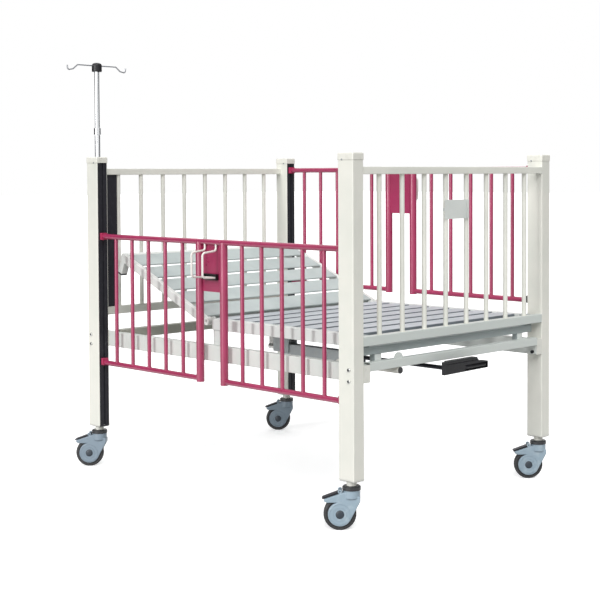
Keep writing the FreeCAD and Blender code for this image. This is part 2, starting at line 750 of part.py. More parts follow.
def build_base_frame():
    """Two long side rails bolted to the posts, two cross-members and a half-round lug."""
    rails = hollow_along_x(
        "base_side_rails",
        "-base_end",
        "base_end",
        "base_inner",
        "base_outer",
        "base_low",
        "base_rail_high",
        "base_wall",
    )
    rails.mirror("XZ_Plane")
    holes = rails.sketch("XZ_Plane")
    for x in ("-bolt_x", "bolt_x"):
        for height in ("bolt_low", "bolt_high"):
            circle(holes, x, height, "bolt_hole")
    rails.pocket(holes)
    rails.keep()
    foot = hollow_along_y(
        "foot_cross_member",
        "panel_face - panel_depth",
        "panel_face",
        "base_inner",
        "foot_member_low",
        "base_high",
        "base_wall",
    )
    head = hollow_along_y(
        "head_cross_member",
        "-head_member_far",
        "-head_member_near",
        "base_inner",
        "head_member_low",
        "base_high",
        "base_wall",
    )
    lug = Piece("half_round_lug")
    outline = lug.sketch("YZ_Plane", at="panel_face - panel_depth / 2")
    circle(outline, "-lug_y", "base_high", "lug_radius")
    lug.pad(outline, "lug_sheet")
    lower_half = lug.sketch("YZ_Plane")
    rectangle(
        lower_half,
        "-lug_y - lug_radius - 1",
        "-lug_y + lug_radius + 1",
        "base_high - lug_radius - 1",
        "base_high",
    )
    lug.pocket(lower_half)
    group("base_cross_members", foot, head, lug)


def build_accessory_tube():
    """Round accessory tube welded under the foot cross-member."""
    piece = Piece("accessory_tube")
    section = piece.sketch("YZ_Plane", at="450")
    circle(section, "-314", "foot_member_low - 11.5", "11.5")
    circle(section, "-314", "foot_member_low - 11.5", "9.7")
    piece.pad(section, "base_end - 450")
    piece.keep()


def build_plugs():
    """Dark plugs in the ends of the base side rails and of the accessory tube."""
    plugs = Piece("rail_plugs")
    flange = plugs.sketch("YZ_Plane", at="base_end")
    rectangle(flange, "base_inner", "base_outer", "base_low", "base_rail_high")
    plugs.pad(flange, "plug_flange")
    plugs.fillet("tube_corner", lambda edge: runs_along(Vector(1, 0, 0), edge))
    body = plugs.sketch("YZ_Plane", at="base_end")
    inset = "(base_wall + plug_gap)"
    rectangle(
        body,
        f"base_inner + {inset}",
        f"base_outer - {inset}",
        f"base_low + {inset}",
        f"base_rail_high - {inset}",
    )
    plugs.pad(body, "4", backwards=True)
    plugs.mirror("XZ_Plane")
    plugs.mirror("YZ_Plane")
    round_plug = Piece("accessory_tube_plug")
    disc = round_plug.sketch("YZ_Plane", at="base_end")
    circle(disc, "-314", "foot_member_low - 11.5", "11.5")
    round_plug.pad(disc, "plug_flange")
    core = round_plug.sketch("YZ_Plane", at="base_end")
    circle(core, "-314", "foot_member_low - 11.5", "9.7 - plug_gap")
    round_plug.pad(core, "plug_length", backwards=True)
    group("tube_end_plugs", plugs, round_plug)


def build_frame_bolts():
    """Eight through bolts, two at each post, with domed heads outside and nuts inside."""
    piece = Piece("frame_bolts")
    face = "-(post_y + post_width / 2)"
    inner = "-base_inner"
    profile = piece.sketch("XY_Plane", at="bolt_low", origin=("bolt_x", "0"))
    polygon(
        profile,
        (
            ("0", f"{face} - bolt_head_high"),
            ("bolt_head - 2.5", f"{face} - bolt_head_high"),
            ("bolt_head", f"{face} - 1.5"),
            ("bolt_head", face),
            ("bolt_shank", face),
            ("bolt_shank", inner),
            ("bolt_nut", inner),
            ("bolt_nut", f"{inner} + bolt_nut_high"),
            ("0", f"{inner} + bolt_nut_high"),
        ),
    )
    piece.revolve(profile)
    piece.repeat("Z_Axis", "bolt_high - bolt_low", 2)
    piece.mirror("XZ_Plane")
    piece.mirror("YZ_Plane")
    piece.keep()


# ------------------------------------------------------------------------------ platform


def slat_profile(sketch, left, width, top, fold):
    """Draw a slat's section: a sheet with both long edges folded down."""
    right = f"{left} + {width}"
    foot = f"{top} - {fold}"
    polygon(
        sketch,
        (
            (left, foot),
            (left, top),
            (right, top),
            (right, foot),
            (f"{right} - slat_sheet", foot),
            (f"{right} - slat_sheet", f"{top} - slat_sheet"),
            (f"{left} + slat_sheet", f"{top} - slat_sheet"),
            (f"{left} + slat_sheet", foot),
        ),
    )


def round_slat_bends(piece, top):
    """Round the two upper long edges of a slat."""
    height = value(top)
    piece.fillet(
        "slat_round",
        lambda edge: runs_along(Vector(0, 1, 0), edge) and abs(edge.CenterOfMass.z - height) < 0.01,
    )


def build_seat():
    """Fixed part of the platform: side rails, cross rails, uprights, struts and slats."""
    rails = hollow_along_x(
        "seat_side_rails",
        "-seat_head_end",
        "seat_foot_end",
        "deck_inner",
        "deck_outer",
        "deck_low",
        "deck_top",
        "tube_wall",
    )
    rails.mirror("XZ_Plane")
    hinge_rail = hollow_along_y(
        "hinge_cross_rail",
        "-36",
        "-12",
        "deck_inner",
        "cross_low",
        "cross_high",
        "tube_wall",
    )
    foot = hollow_along_y(
        "foot_cross_rail",
        "seat_foot_end - 30",
        "seat_foot_end",
        "deck_outer",
        "foot_cross_low",
        "deck_low",
        "tube_wall",
    )
    struts = upright_block(
        "platform_struts",
        "strut_near",
        "strut_far",
        "strut_y - strut_half",
        "strut_y + strut_half",
        "foot_member_low",
        "foot_cross_low",
    )
    uprights = upright_block(
        "hinge_uprights",
        "-seat_head_end",
        "-seat_head_end + upright_width",
        "deck_inner",
        "base_inner",
        "base_low",
        "deck_low",
    )
    group("seat_frame", rails, hinge_rail, foot, struts, uprights)
    slats = Piece("seat_slats")
    profile = slats.sketch("XZ_Plane")
    slat_profile(profile, "-slat_first", "slat_width", "deck_top", "slat_depth")
    slats.pad(profile, "2 * deck_inner", symmetric=True)
    round_slat_bends(slats, "deck_top")
    slats.repeat("X_Axis", "slat_pitch", 7)
    slats.keep()


def build_hinge_brackets():
    """Plates inside the seat's side rails that carry the backrest's hinge pins."""
    piece = Piece("backrest_hinge_brackets")
    eye = piece.sketch("XZ_Plane", at="deck_inner - hinge_plate")
    circle(eye, "-hinge_x", "hinge_z", "hinge_eye")
    piece.pad(eye, "hinge_plate")
    arm = piece.sketch("XZ_Plane", at="deck_inner - hinge_plate")
    slat_under = "deck_top - slat_depth - 1"
    polygon(
        arm,
        (
            ("-hinge_x - 8", "hinge_z - 8"),
            ("-hinge_x + 26", "deck_low + 1"),
            ("-38", "deck_low + 1"),
            ("-38", slat_under),
            ("-slat_first - 2", slat_under),
            ("-hinge_x + 8", "hinge_z + 8"),
        ),
    )
    piece.pad(arm, "hinge_plate")
    bore = piece.sketch("XZ_Plane")
    circle(bore, "-hinge_x", "hinge_z", "hinge_pin + pin_clearance")
    piece.pocket(bore)
    piece.mirror("XZ_Plane")
    piece.keep()


# ------------------------------------------------------------------------------ backrest
# The backrest is drawn flat with its hinge axis through the origin, then tilted in place.


def place_backrest(piece):
    """Tilt a flat backrest piece about the hinge and put it in the cot."""
    return piece.place("-hinge_x", "0", "hinge_z", Vector(0, 1, 0), value("backrest_angle"))


def build_backrest_frame():
    """Side rails with hinge eyes, the head rail and the cross tube."""
    rails = Piece("backrest_side_rails")
    width = "deck_outer - backrest_inner"
    section = rails.sketch("YZ_Plane", at="-backrest_length")
    rectangle(section, "backrest_inner", "deck_outer", "-backrest_low", "backrest_high")
    rails.pad(section, "backrest_length - backrest_eye + 2")
    rails.fillet("tube_corner", lambda edge: runs_along(Vector(1, 0, 0), edge))
    hollow = rails.sketch("YZ_Plane", at="-backrest_length + tube_wall")
    rectangle(
        hollow,
        "backrest_inner + tube_wall",
        "deck_outer - tube_wall",
        "-backrest_low + tube_wall",
        "backrest_high - tube_wall",
    )
    rails.pocket(hollow, "backrest_length - backrest_eye + 2")
    eye = rails.sketch("XZ_Plane", at="backrest_inner")
    circle(eye, "0", "0", "backrest_eye")
    rails.pad(eye, width)
    bore = rails.sketch("XZ_Plane")
    circle(bore, "0", "0", "hinge_pin")
    rails.pocket(bore)
    rails.mirror("XZ_Plane")
    head = hollow_along_y(
        "backrest_head_rail",
        "-backrest_length",
        "-backrest_length + backrest_head_rail",
        "backrest_inner",
        "-backrest_low",
        "backrest_high",
        "tube_wall",
    )
    tube = Piece("backrest_cross_tube")
    ring = tube.sketch("XZ_Plane")
    circle(ring, "-cross_tube_x", "-cross_tube_z", "cross_tube")
    circle(ring, "-cross_tube_x", "-cross_tube_z", "cross_tube - tube_wall")
    tube.pad(ring, "2 * backrest_inner", symmetric=True)
    group("backrest_frame", *[place_backrest(piece) for piece in (rails, head, tube)])


def build_backrest_slats():
    """Five folded slats between the backrest's side rails."""
    piece = Piece("backrest_slats")
    profile = piece.sketch("XZ_Plane")
    slat_profile(profile, "-backrest_first", "backrest_slat", "backrest_high", "backrest_fold")
    piece.pad(profile, "2 * backrest_inner", symmetric=True)
    round_slat_bends(piece, "backrest_high")
    piece.repeat("X_Axis", "backrest_pitch", 5, backwards=True)
    place_backrest(piece).keep()


def build_backrest_feet():
    """Two stub feet under the head corners, and their rubber pads."""
    for label, low, length in (
        ("backrest_foot_stubs", "-backrest_low - stub_length", "stub_length"),
        ("backrest_foot_pads", "-backrest_low - stub_length - stub_pad", "stub_pad"),
    ):
        piece = upright_block(
            label,
            "-stub_x - stub_half",
            "-stub_x + stub_half",
            "stub_inner",
            "stub_outer",
            low,
            f"{low} + {length}",
        )
        place_backrest(piece).keep()


def build_hinge_pins():
    """Two headed pins, pressed into the side rails and turning in the brackets."""
    piece = Piece("backrest_hinge_pins")
    profile = piece.sketch("XY_Plane")
    head = "deck_inner - hinge_plate - 0.5"
    polygon(
        profile,
        (
            ("0", f"{head} - 4"),
            ("9", f"{head} - 3"),
            ("9", head),
            ("hinge_pin", head),
            ("hinge_pin", "deck_outer - tube_wall"),
            ("0", "deck_outer - tube_wall"),
        ),
    )
    piece.revolve(profile)
    piece.mirror("XZ_Plane")
    place_backrest(piece).keep()


def build_lift_lever():
    """Two lever plates on the cross tube with the pin that the yoke pushes."""
    piece = Piece("backrest_lift_lever")
    pin_x = "lever_length * sin(lever_angle)"
    pin_z = "-lever_length * cos(lever_angle)"
    start = "-screw_y + lever_gap"
    plate = piece.sketch("XZ_Plane", at=start)
    circle(plate, pin_x, pin_z, "lever_round")
    piece.pad(plate, "lever_plate")
    web = piece.sketch("XZ_Plane", at=start)
    polygon(
        web,
        (
            ("-cross_tube_x - 10", "-cross_tube_z - cross_tube"),
            (f"{pin_x} - lever_round * cos(lever_angle)", f"{pin_z} - lever_round * sin(lever_angle)"),
            (f"{pin_x} + lever_round * sin(lever_angle)", f"{pin_z} + lever_round * cos(lever_angle)"),
            ("-cross_tube_x + cross_tube + 16", "-cross_tube_z + 10"),
            ("-cross_tube_x", "-cross_tube_z + 2"),
        ),
    )
    piece.pad(web, "lever_plate")
    copies = piece.repeat("Y_Axis", "2 * lever_gap + lever_plate", 2, backwards=True)
    if len(copies.Shape.Solids) != 2:
        raise RuntimeError("the lift lever has two plates")
    tube = piece.sketch("XZ_Plane")
    circle(tube, "-cross_tube_x", "-cross_tube_z", "cross_tube")
    piece.pocket(tube)
    pin = piece.sketch("XZ_Plane", at="-screw_y - lever_gap - lever_plate - 2")
    circle(pin, pin_x, pin_z, "lever_pin")
    piece.pad(pin, "2 * (lever_gap + lever_plate) + 4")
    place_backrest(piece).keep()


# --------------------------------------------------------------------------- crank drive


def build_screw_channel():
    """Open-topped guide channel with turned-in lips, hung from a cross rail by a plate."""
    channel = Piece("guide_channel")
    section = channel.sketch("YZ_Plane", at="channel_head")
    half = (
        ("channel_half", "channel_low"),
        ("channel_half", "foot_member_low"),
        ("channel_half - channel_lip", "foot_member_low"),
        ("channel_half - channel_lip", "foot_member_low - channel_wall"),
        ("channel_half - channel_wall", "foot_member_low - channel_wall"),
        ("channel_half - channel_wall", "channel_low + channel_wall"),
    )
    points = [(f"-screw_y - ({y})", z) for y, z in half]
    points += [(f"-screw_y + ({y})", z) for y, z in reversed(half)]
    polygon(section, points)
    channel.pad(section, "channel_foot - channel_head")
    hanger = Piece("channel_hanger")
    plate = hanger.sketch("YZ_Plane", at="hanger_near")
    outer = "channel_half + hanger_sheet"
    polygon(
        plate,
        (
            (f"-screw_y - ({outer})", "channel_low + 8"),
            (f"-screw_y - ({outer})", "cross_low"),
            (f"-screw_y + {outer}", "cross_low"),
            (f"-screw_y + {outer}", "channel_low + 8"),
            ("-screw_y + channel_half", "channel_low + 8"),
            ("-screw_y + channel_half", "cross_low - hanger_sheet"),
            ("-screw_y - channel_half", "cross_low - hanger_sheet"),
            ("-screw_y - channel_half", "channel_low + 8"),
        ),
    )
    hanger.pad(plate, "hanger_far - hanger_near")
    group("screw_guide_channel", channel, hanger)


def build_thrust_bearing():
    """Block in the channel's foot end in which the crank shaft turns."""
    piece = Piece("screw_thrust_bearing")
    block = piece.sketch("YZ_Plane", at="bearing_near")
    inside = "channel_half - channel_wall"
    rectangle(
        block,
        f"-screw_y - ({inside})",
        f"-screw_y + {inside}",
        "channel_low + channel_wall",
        "foot_member_low - channel_wall",
    )
    piece.pad(block, "bearing_far - bearing_near")
    bore = piece.sketch("YZ_Plane")
    circle(bore, "-screw_y", "screw_z", "shaft_radius + pin_clearance")
    piece.pocket(bore)
    piece.keep()


def build_lead_screw():
    """Lead screw with its thrust collar and the crank shaft, turned in one piece."""
    piece = Piece("lead_screw")
    profile = piece.sketch("XY_Plane", at="screw_z", origin=("0", "-screw_y"))
    polygon(
        profile,
        (
            ("screw_head", "0"),
            ("screw_head", "screw_radius - 1.5"),
            ("screw_head + 1.5", "screw_radius"),
            ("screw_foot - 8", "screw_radius"),
            ("screw_foot - 8", "screw_radius + 4"),
            ("bearing_near - 0.5", "screw_radius + 4"),
            ("bearing_near - 0.5", "shaft_radius"),
            ("arm_front - 4", "shaft_radius"),
            ("arm_front - 4", "0"),
        ),
    )
    piece.revolve(profile, "H_Axis")
    piece.keep()


def build_crank_arm():
    """Moulded crank arm, tapered and stepped, with a pocket for the folded grip."""
    piece = Piece("crank_arm")
    outline = piece.sketch("YZ_Plane", at="arm_back")
    polygon(
        outline,
        (
            ("-arm_near", "screw_z - 25"),
            ("arm_far", "screw_z - 21.5"),
            ("arm_far", "screw_z + 3"),
            ("arm_step + 10", "screw_z + 8"),
            ("arm_step", "screw_z + 22"),
            ("-arm_near", "screw_z + 21"),
        ),
    )
    piece.pad(outline, "arm_front - arm_back")
    piece.fillet("3", lambda edge: runs_along(Vector(1, 0, 0), edge))
    front = value("arm_front")
    piece.chamfer("1.5", lambda edge: edge.CenterOfMass.x > front - 0.01)
    groove = piece.sketch("YZ_Plane", at="arm_front")
    polygon(
        groove,
        (
            ("-arm_near + 7", "screw_z + 10"),
            ("arm_step - 2", "screw_z + 11"),
            ("arm_step - 2", "screw_z + 14"),
            ("-arm_near + 7", "screw_z + 13"),
        ),
    )
    piece.pocket(groove, "2.5", backwards=True)
    pocket = piece.sketch("YZ_Plane", at="arm_front")
    grip_z = "screw_z - 10"
    radius = "grip_radius + grip_gap"
    rectangle(
        pocket,
        f"grip_pivot - grip_length - grip_gap",
        "grip_pivot",
        f"{grip_z} - ({radius})",
        f"{grip_z} + {radius}",
    )
    piece.pocket(pocket, "arm_pocket", backwards=True)
    round_end = piece.sketch("XY_Plane", at=f"{grip_z} - ({radius})")
    circle(round_end, "arm_front - grip_radius", "grip_pivot", radius)
    piece.pocket(round_end, f"2 * ({radius})")
    relief = piece.sketch("YZ_Plane", at="arm_front")
    rectangle(
        relief,
        "grip_pivot - 0.1",
        "grip_pivot + grip_radius + grip_gap",
        f"{grip_z} - ({radius})",
        f"{grip_z} + {radius}",
    )
    piece.pocket(relief, "grip_radius", backwards=True)
    shaft = piece.sketch("YZ_Plane", at="arm_back - 1")
    circle(shaft, "-screw_y", "screw_z", "shaft_radius")
    piece.pocket(shaft, "arm_front - arm_back - 3")
    thin_end = piece.sketch("XY_Plane", at="screw_z - 30")
    rectangle(thin_end, "arm_back - 1", "arm_back + 14", "-arm_near - 1", "-arm_near + 30")
    piece.pocket(thin_end, "60")
    piece.keep()


def build_crank_grip():
    """Round grip with a domed end, folded into the crank arm."""
    piece = Piece("crank_grip")
    profile = piece.sketch("YZ_Plane", at="arm_front - grip_radius", origin=("0", "screw_z - 10"))
    polygon(
        profile,
        (
            ("grip_pivot - grip_length", "0"),
            ("grip_pivot - grip_length", "grip_radius - 3"),
            ("grip_pivot - grip_length + 2.5", "grip_radius - 0.8"),
            ("grip_pivot - grip_length + 14", "grip_radius"),
            ("grip_pivot - 16", "grip_radius - 0.8"),
            ("grip_pivot + 3", "grip_radius - 0.8"),
            ("grip_pivot + 7", "grip_radius - 4"),
            ("grip_pivot + 7", "0"),
        ),
    )
    piece.revolve(profile, "H_Axis")
    piece.keep()


def build_screw_nut():
    """Nut block that slides in the channel and rides on the lead screw."""
    piece = Piece("screw_nut")
    block = piece.sketch("YZ_Plane", at="nut_middle - nut_half")
    rectangle(
        block,
        "-screw_y - nut_side",
        "-screw_y + nut_side",
        "screw_z - nut_low - 7",
        "screw_z + nut_high",
    )
    piece.pad(block, "2 * nut_half")
    piece.fillet("2", lambda edge: runs_along(Vector(1, 0, 0), edge))
    bore = piece.sketch("YZ_Plane")
    circle(bore, "-screw_y", "screw_z", "screw_radius + pin_clearance")
    piece.pocket(bore)
    piece.keep()


def build_push_rod():
    """Tube that the nut pushes, with a slotted yoke for the lift lever's pin."""
    piece = Piece("push_rod")
    rest_x = "-hinge_x + lever_length * sin(lever_angle - backrest_angle)"
    tube = piece.sketch("YZ_Plane", at=f"{rest_x} - yoke_width")
    circle(tube, "-screw_y", "screw_z", "rod_outer")
    piece.pad(tube, f"nut_middle - nut_half - ({rest_x} - yoke_width)")
    yoke = piece.sketch("XZ_Plane", at="-screw_y - yoke_half")
    rectangle(yoke, f"{rest_x} - yoke_width", f"{rest_x} + yoke_width", "screw_z", "yoke_top")
    piece.pad(yoke, "2 * yoke_half")
    top = value("yoke_top")
    piece.fillet(
        "8",
        lambda edge: runs_along(Vector(0, 1, 0), edge) and edge.CenterOfMass.z > top - 0.01,
    )
    slot = piece.sketch("XZ_Plane")
    rectangle(
        slot,
        f"{rest_x} - yoke_slot",
        f"{rest_x} + yoke_slot",
        "yoke_slot_low",
        "yoke_slot_high",
    )
    piece.pocket(slot)
    bore = piece.sketch("YZ_Plane", at="nut_middle - nut_half")
    circle(bore, "-screw_y", "screw_z", "rod_inner")
    piece.pocket(bore, f"nut_middle - nut_half - ({rest_x} + yoke_width + 4)", backwards=True)
    piece.keep()


# ---------------------------------------------------------------------------- side rails
# A side rail is drawn round its top tube: X along the cot, -Y out from the cot, Z up.


def place_rail(piece, name):
    """Put a side rail piece in its place; the far rail is turned to face outwards."""
    if name == "near":
        return piece.place("0", "-post_y", "near_rail_z")
    return piece.place("0", "post_y", "far_rail_z", angle=180)


def rail_tube(label, x0, x1, z, radius):
    """Make a round tube along X."""
    piece = Piece(label)
    section = piece.sketch("YZ_Plane", at=x0)
    circle(section, "0", z, radius)
    circle(section, "0", z, f"{radius} - rail_wall")
    piece.pad(section, f"{x1} - ({x0})")
    return piece


def build_rail_grid(name):
    """Top and lower tubes, two thick uprights and ten bars, coped where they meet."""
    top = rail_tube(f"{name}_top_tube", "-rail_half", "rail_half", "0", "rail_top")
    holes = top.sketch("XY_Plane", at="-rail_top - 1")
    for x in ("-wire_left", "wire_right"):
        circle(holes, x, "-wire_y", "wire_hole")
    top.pocket(holes, "rail_top + 1")
    lower = rail_tube(f"{name}_lower_tube", "rail_post_x", "rail_half", "-rail_drop", "rail_low")
    saddle = lower.sketch("XY_Plane", at="-rail_drop")
    circle(saddle, "rail_post_x", "0", "rail_post")
    lower.pocket(saddle)
    lower.mirror("YZ_Plane")
    uprights = Piece(f"{name}_thick_uprights")
    section = uprights.sketch("XY_Plane", at="-rail_post_end")
    for radius in ("rail_post", "rail_post - rail_wall"):
        circle(section, "rail_post_x", "0", radius)
    uprights.pad(section, "rail_post_end")
    closed_end = uprights.sketch("XY_Plane", at="-rail_post_end")
    circle(closed_end, "rail_post_x", "0", "rail_post")
    uprights.pad(closed_end, "rail_wall")
    seat = uprights.sketch("YZ_Plane")
    circle(seat, "0", "0", "rail_top")
    uprights.pocket(seat)
    uprights.mirror("YZ_Plane")
    bars = Piece(f"{name}_bars")
    section = bars.sketch("XY_Plane", at="-rail_drop")
    for radius in ("rail_bar", "rail_bar - bar_wall"):
        circle(section, "rail_bar_first", "0", radius)
    bars.pad(section, "rail_drop")
    bars.repeat("X_Axis", "rail_bar_pitch", 5)
    seats = bars.sketch("YZ_Plane")
    circle(seats, "0", "0", "rail_top")
    circle(seats, "0", "-rail_drop", "rail_low")
    bars.pocket(seats)
    bars.mirror("YZ_Plane")
    placed = [place_rail(piece, name) for piece in (top, lower, uprights, bars)]
    group(f"{name}_rail_grid", *placed)


def build_latch_plate(name):
    """Sheet between the thick uprights, which carries the latch block."""
    piece = Piece(f"{name}_latch_plate")
    outline = piece.sketch("XZ_Plane", at="plate_back - plate_sheet")
    rectangle(outline, "-plate_half", "plate_half", "-plate_end", "-rail_top")
    piece.pad(outline, "plate_sheet")
    place_rail(piece, name).keep()


def build_latch_block(name):
    """Black latch housing on the plate, with the slot that the handle's foot enters."""
    piece = Piece(f"{name}_latch_block")
    outline = piece.sketch("XZ_Plane", at="-block_front")
    rectangle(outline, "-block_left", "block_right", "-block_low", "-block_high")
    piece.pad(outline, "block_front + block_back")
    slot = piece.sketch("XZ_Plane", at="-block_front")
    rectangle(
        slot,
        "-block_left + block_rim",
        "block_right - block_rim",
        "-block_low + block_rim",
        "-block_high - block_rim",
    )
    piece.pocket(slot, "block_front + block_floor")
    place_rail(piece, name).keep()


def build_sliders(name):
    """Four blocks at the tubes' ends whose tongues run in the guide strips."""
    piece = Piece(f"{name}_rail_sliders")
    face = "post_x - post_depth / 2 - slider_gap"
    for z in ("0", "-rail_drop + 4"):
        block = piece.sketch("XY_Plane", at=f"{z} - slider_half")
        rectangle(block, "rail_half", face, "-slider_half", "slider_half")
        piece.pad(block, "2 * slider_half")
        tongue = piece.sketch("XY_Plane", at=f"{z} - slider_half")
        rectangle(tongue, face, f"{face} + slider_gap + tongue_depth", "-tongue_half", "tongue_half")
        piece.pad(tongue, "2 * slider_half")
    limit = value("slider_half")
    piece.fillet(
        "3",
        lambda edge: runs_along(Vector(1, 0, 0), edge) and abs(edge.CenterOfMass.y) > limit - 0.01,
    )
    piece.mirror("YZ_Plane")
    place_rail(piece, name).keep()


def build_latch_handle(name):
    """Wire bail: two bowed sides that rise into the top tube, joined in the latch block."""
    side = [
        Vector(0, -value("wire_y"), -value("wire_top")),
        Vector(0, -value("wire_y"), -value("wire_hook")),
        Vector(0, -value("wire_out"), -value("wire_shoulder")),
        Vector(0, -value("wire_out"), -value("wire_grip_end")),
        Vector(0, -value("wire_y"), -value("wire_foot")),
    ]
    left = Vector(-value("wire_left"), 0, 0)
    right = Vector(value("wire_right"), 0, 0)
    points = [left + point for point in side] + [right + point for point in reversed(side)]
    wide = value("wire_bend")
    tight = value("wire_bend_foot")
    bends = [wide, wide, wide, tight, tight, wide, wide, wide]
    feature = bent_wire(f"{name}_latch_handle", points, value("wire_radius"), bends)
    side_sign = -1 if name == "near" else 1
    place = Vector(0, side_sign * value("post_y"), value(f"{name}_rail_z"))
    feature.Placement = Placement(place, Rotation(Vector(0, 0, 1), 0 if name == "near" else 180))


# ------------------------------------------------------------------------- infusion pole


def build_pole_tubes():
    """Lower tube with its collar, and the upper tube that slides in it."""
    lower = Piece("iv_pole_lower_tube")
    profile = lower.sketch("XZ_Plane", at="-post_y", origin=("-pole_x", "0"))
    bore = "pole_upper + pin_clearance"
    polygon(
        profile,
        (
            (bore, "pole_low"),
            ("pole_lower", "pole_low"),
            ("pole_lower", "pole_join - collar_half"),
            ("collar_radius", "pole_join - collar_half + 2"),
            ("collar_radius", "pole_join + collar_half - 2"),
            ("collar_radius - 2", "pole_join + collar_half"),
            (bore, "pole_join + collar_half"),
        ),
    )
    lower.revolve(profile)
    lower.keep()
    upper = Piece("iv_pole_upper_tube")
    profile = upper.sketch("XZ_Plane", at="-post_y", origin=("-pole_x", "0"))
    rectangle(profile, "pole_upper - pole_wall", "pole_upper", "pole_upper_low", "pole_top")
    upper.revolve(profile)
    upper.keep()


def build_hook_hub():
    """Domed hub with a dished underside, bored for the upper tube."""
    piece = Piece("iv_pole_hub")
    profile = piece.sketch("XZ_Plane", at="-post_y", origin=("-pole_x", "0"))
    polygon(
        profile,
        (
            ("0", "pole_top"),
            ("pole_upper", "pole_top"),
            ("pole_upper", "hub_low + 2"),
            ("hub_radius - 4", "hub_low"),
            ("hub_radius - 1", "hub_low"),
            ("hub_radius", "hub_low + 2"),
            ("hub_radius", "hub_high - 10"),
            ("hub_radius - 2", "hub_high - 5"),
            ("hub_radius - 7", "hub_high - 1.5"),
            ("hub_radius - 13", "hub_high"),
            ("0", "hub_high"),
        ),
    )
    piece.revolve(profile)
    hole = piece.sketch("XZ_Plane")
    circle(hole, "-pole_x", "hub_high - 12", "hook_wire")
    cut = piece.body.newObject("PartDesign::Pocket", "Pocket")
    cut.Profile = hole
    cut.Type = "ThroughAll"
    cut.SideType = "Symmetric"
    piece.finish(cut)
    piece.keep()


def build_hooks():
    """One wire through the hub, bent down, out and up into a hook on each side."""
    x = -value("pole_x")
    middle = -value("post_y")
    through = value("hub_high - 12")
    drop = value("hub_low + 7")
    near = (
        Vector(x, middle - 141, through - 3),
        Vector(x, middle - 138, drop - 5),
        Vector(x, middle - 113, drop),
        Vector(x, middle - 92, through),
    )
    far = [Vector(x, 2 * middle - point.y, point.z) for point in reversed(near)]
    points = [*near, *far]
    bends = [value("hook_bend")] * (len(points) - 2)
    bent_wire("iv_pole_hooks", points, value("hook_wire"), bends)


# ------------------------------------------------------------------------------- casters
# A caster is drawn with its swivel axis through the origin and its wheel trailing to +X.


def place_caster(piece, name):
    """Put a caster piece under its post, trailing in the casters' direction."""
    x_side, y_side = CASTERS[name]
    angle = value("caster_heading")
    return piece.place(f"{x_side} * post_x", f"{y_side} * post_y", angle=angle)


def build_caster_stems():
    """Stems with their plugs, rings and king pins, and the caps under the posts."""
    low = value("foot_cap_low")
    stems = []
    for name, (x_side, y_side) in CASTERS.items():
        piece = Piece(f"stem_{name}")
        profile = piece.sketch("XZ_Plane")
        polygon(
            profile,
            (
                ("0", "fork_bore_low + 1"),
                ("king_pin", "fork_bore_low + 1"),
                ("king_pin", "ring_low"),
                ("ring_radius", "ring_low"),
                ("ring_radius", "ring_high - 3"),
                ("ring_radius - 3", "ring_high"),
                ("stem_radius", "ring_high"),
                ("stem_radius", "post_bottom"),
                ("stem_plug", "post_bottom"),
                ("stem_plug", "stem_top"),
                ("0", "stem_top"),
            ),
        )
        piece.revolve(profile)
        stems.append(place_caster(piece, name))
        cap = Piece(f"foot_cap_{name}")
        outline = cap.sketch("XY_Plane", at="foot_cap_low")
        rectangle(outline, "-post_depth / 2", "post_depth / 2", "-post_width / 2", "post_width / 2")
        cap.pad(outline, "post_bottom - foot_cap_low")
        cap.fillet("foot_cap_round", lambda edge: edge.CenterOfMass.z < low + 0.01)
        bore = cap.sketch("XY_Plane", at="foot_cap_low")
        circle(bore, "0", "0", "stem_radius + pin_clearance")
        cap.pocket(bore)
        stems.append(cap.place(f"{x_side} * post_x", f"{y_side} * post_y"))
    group("caster_stems", *stems)


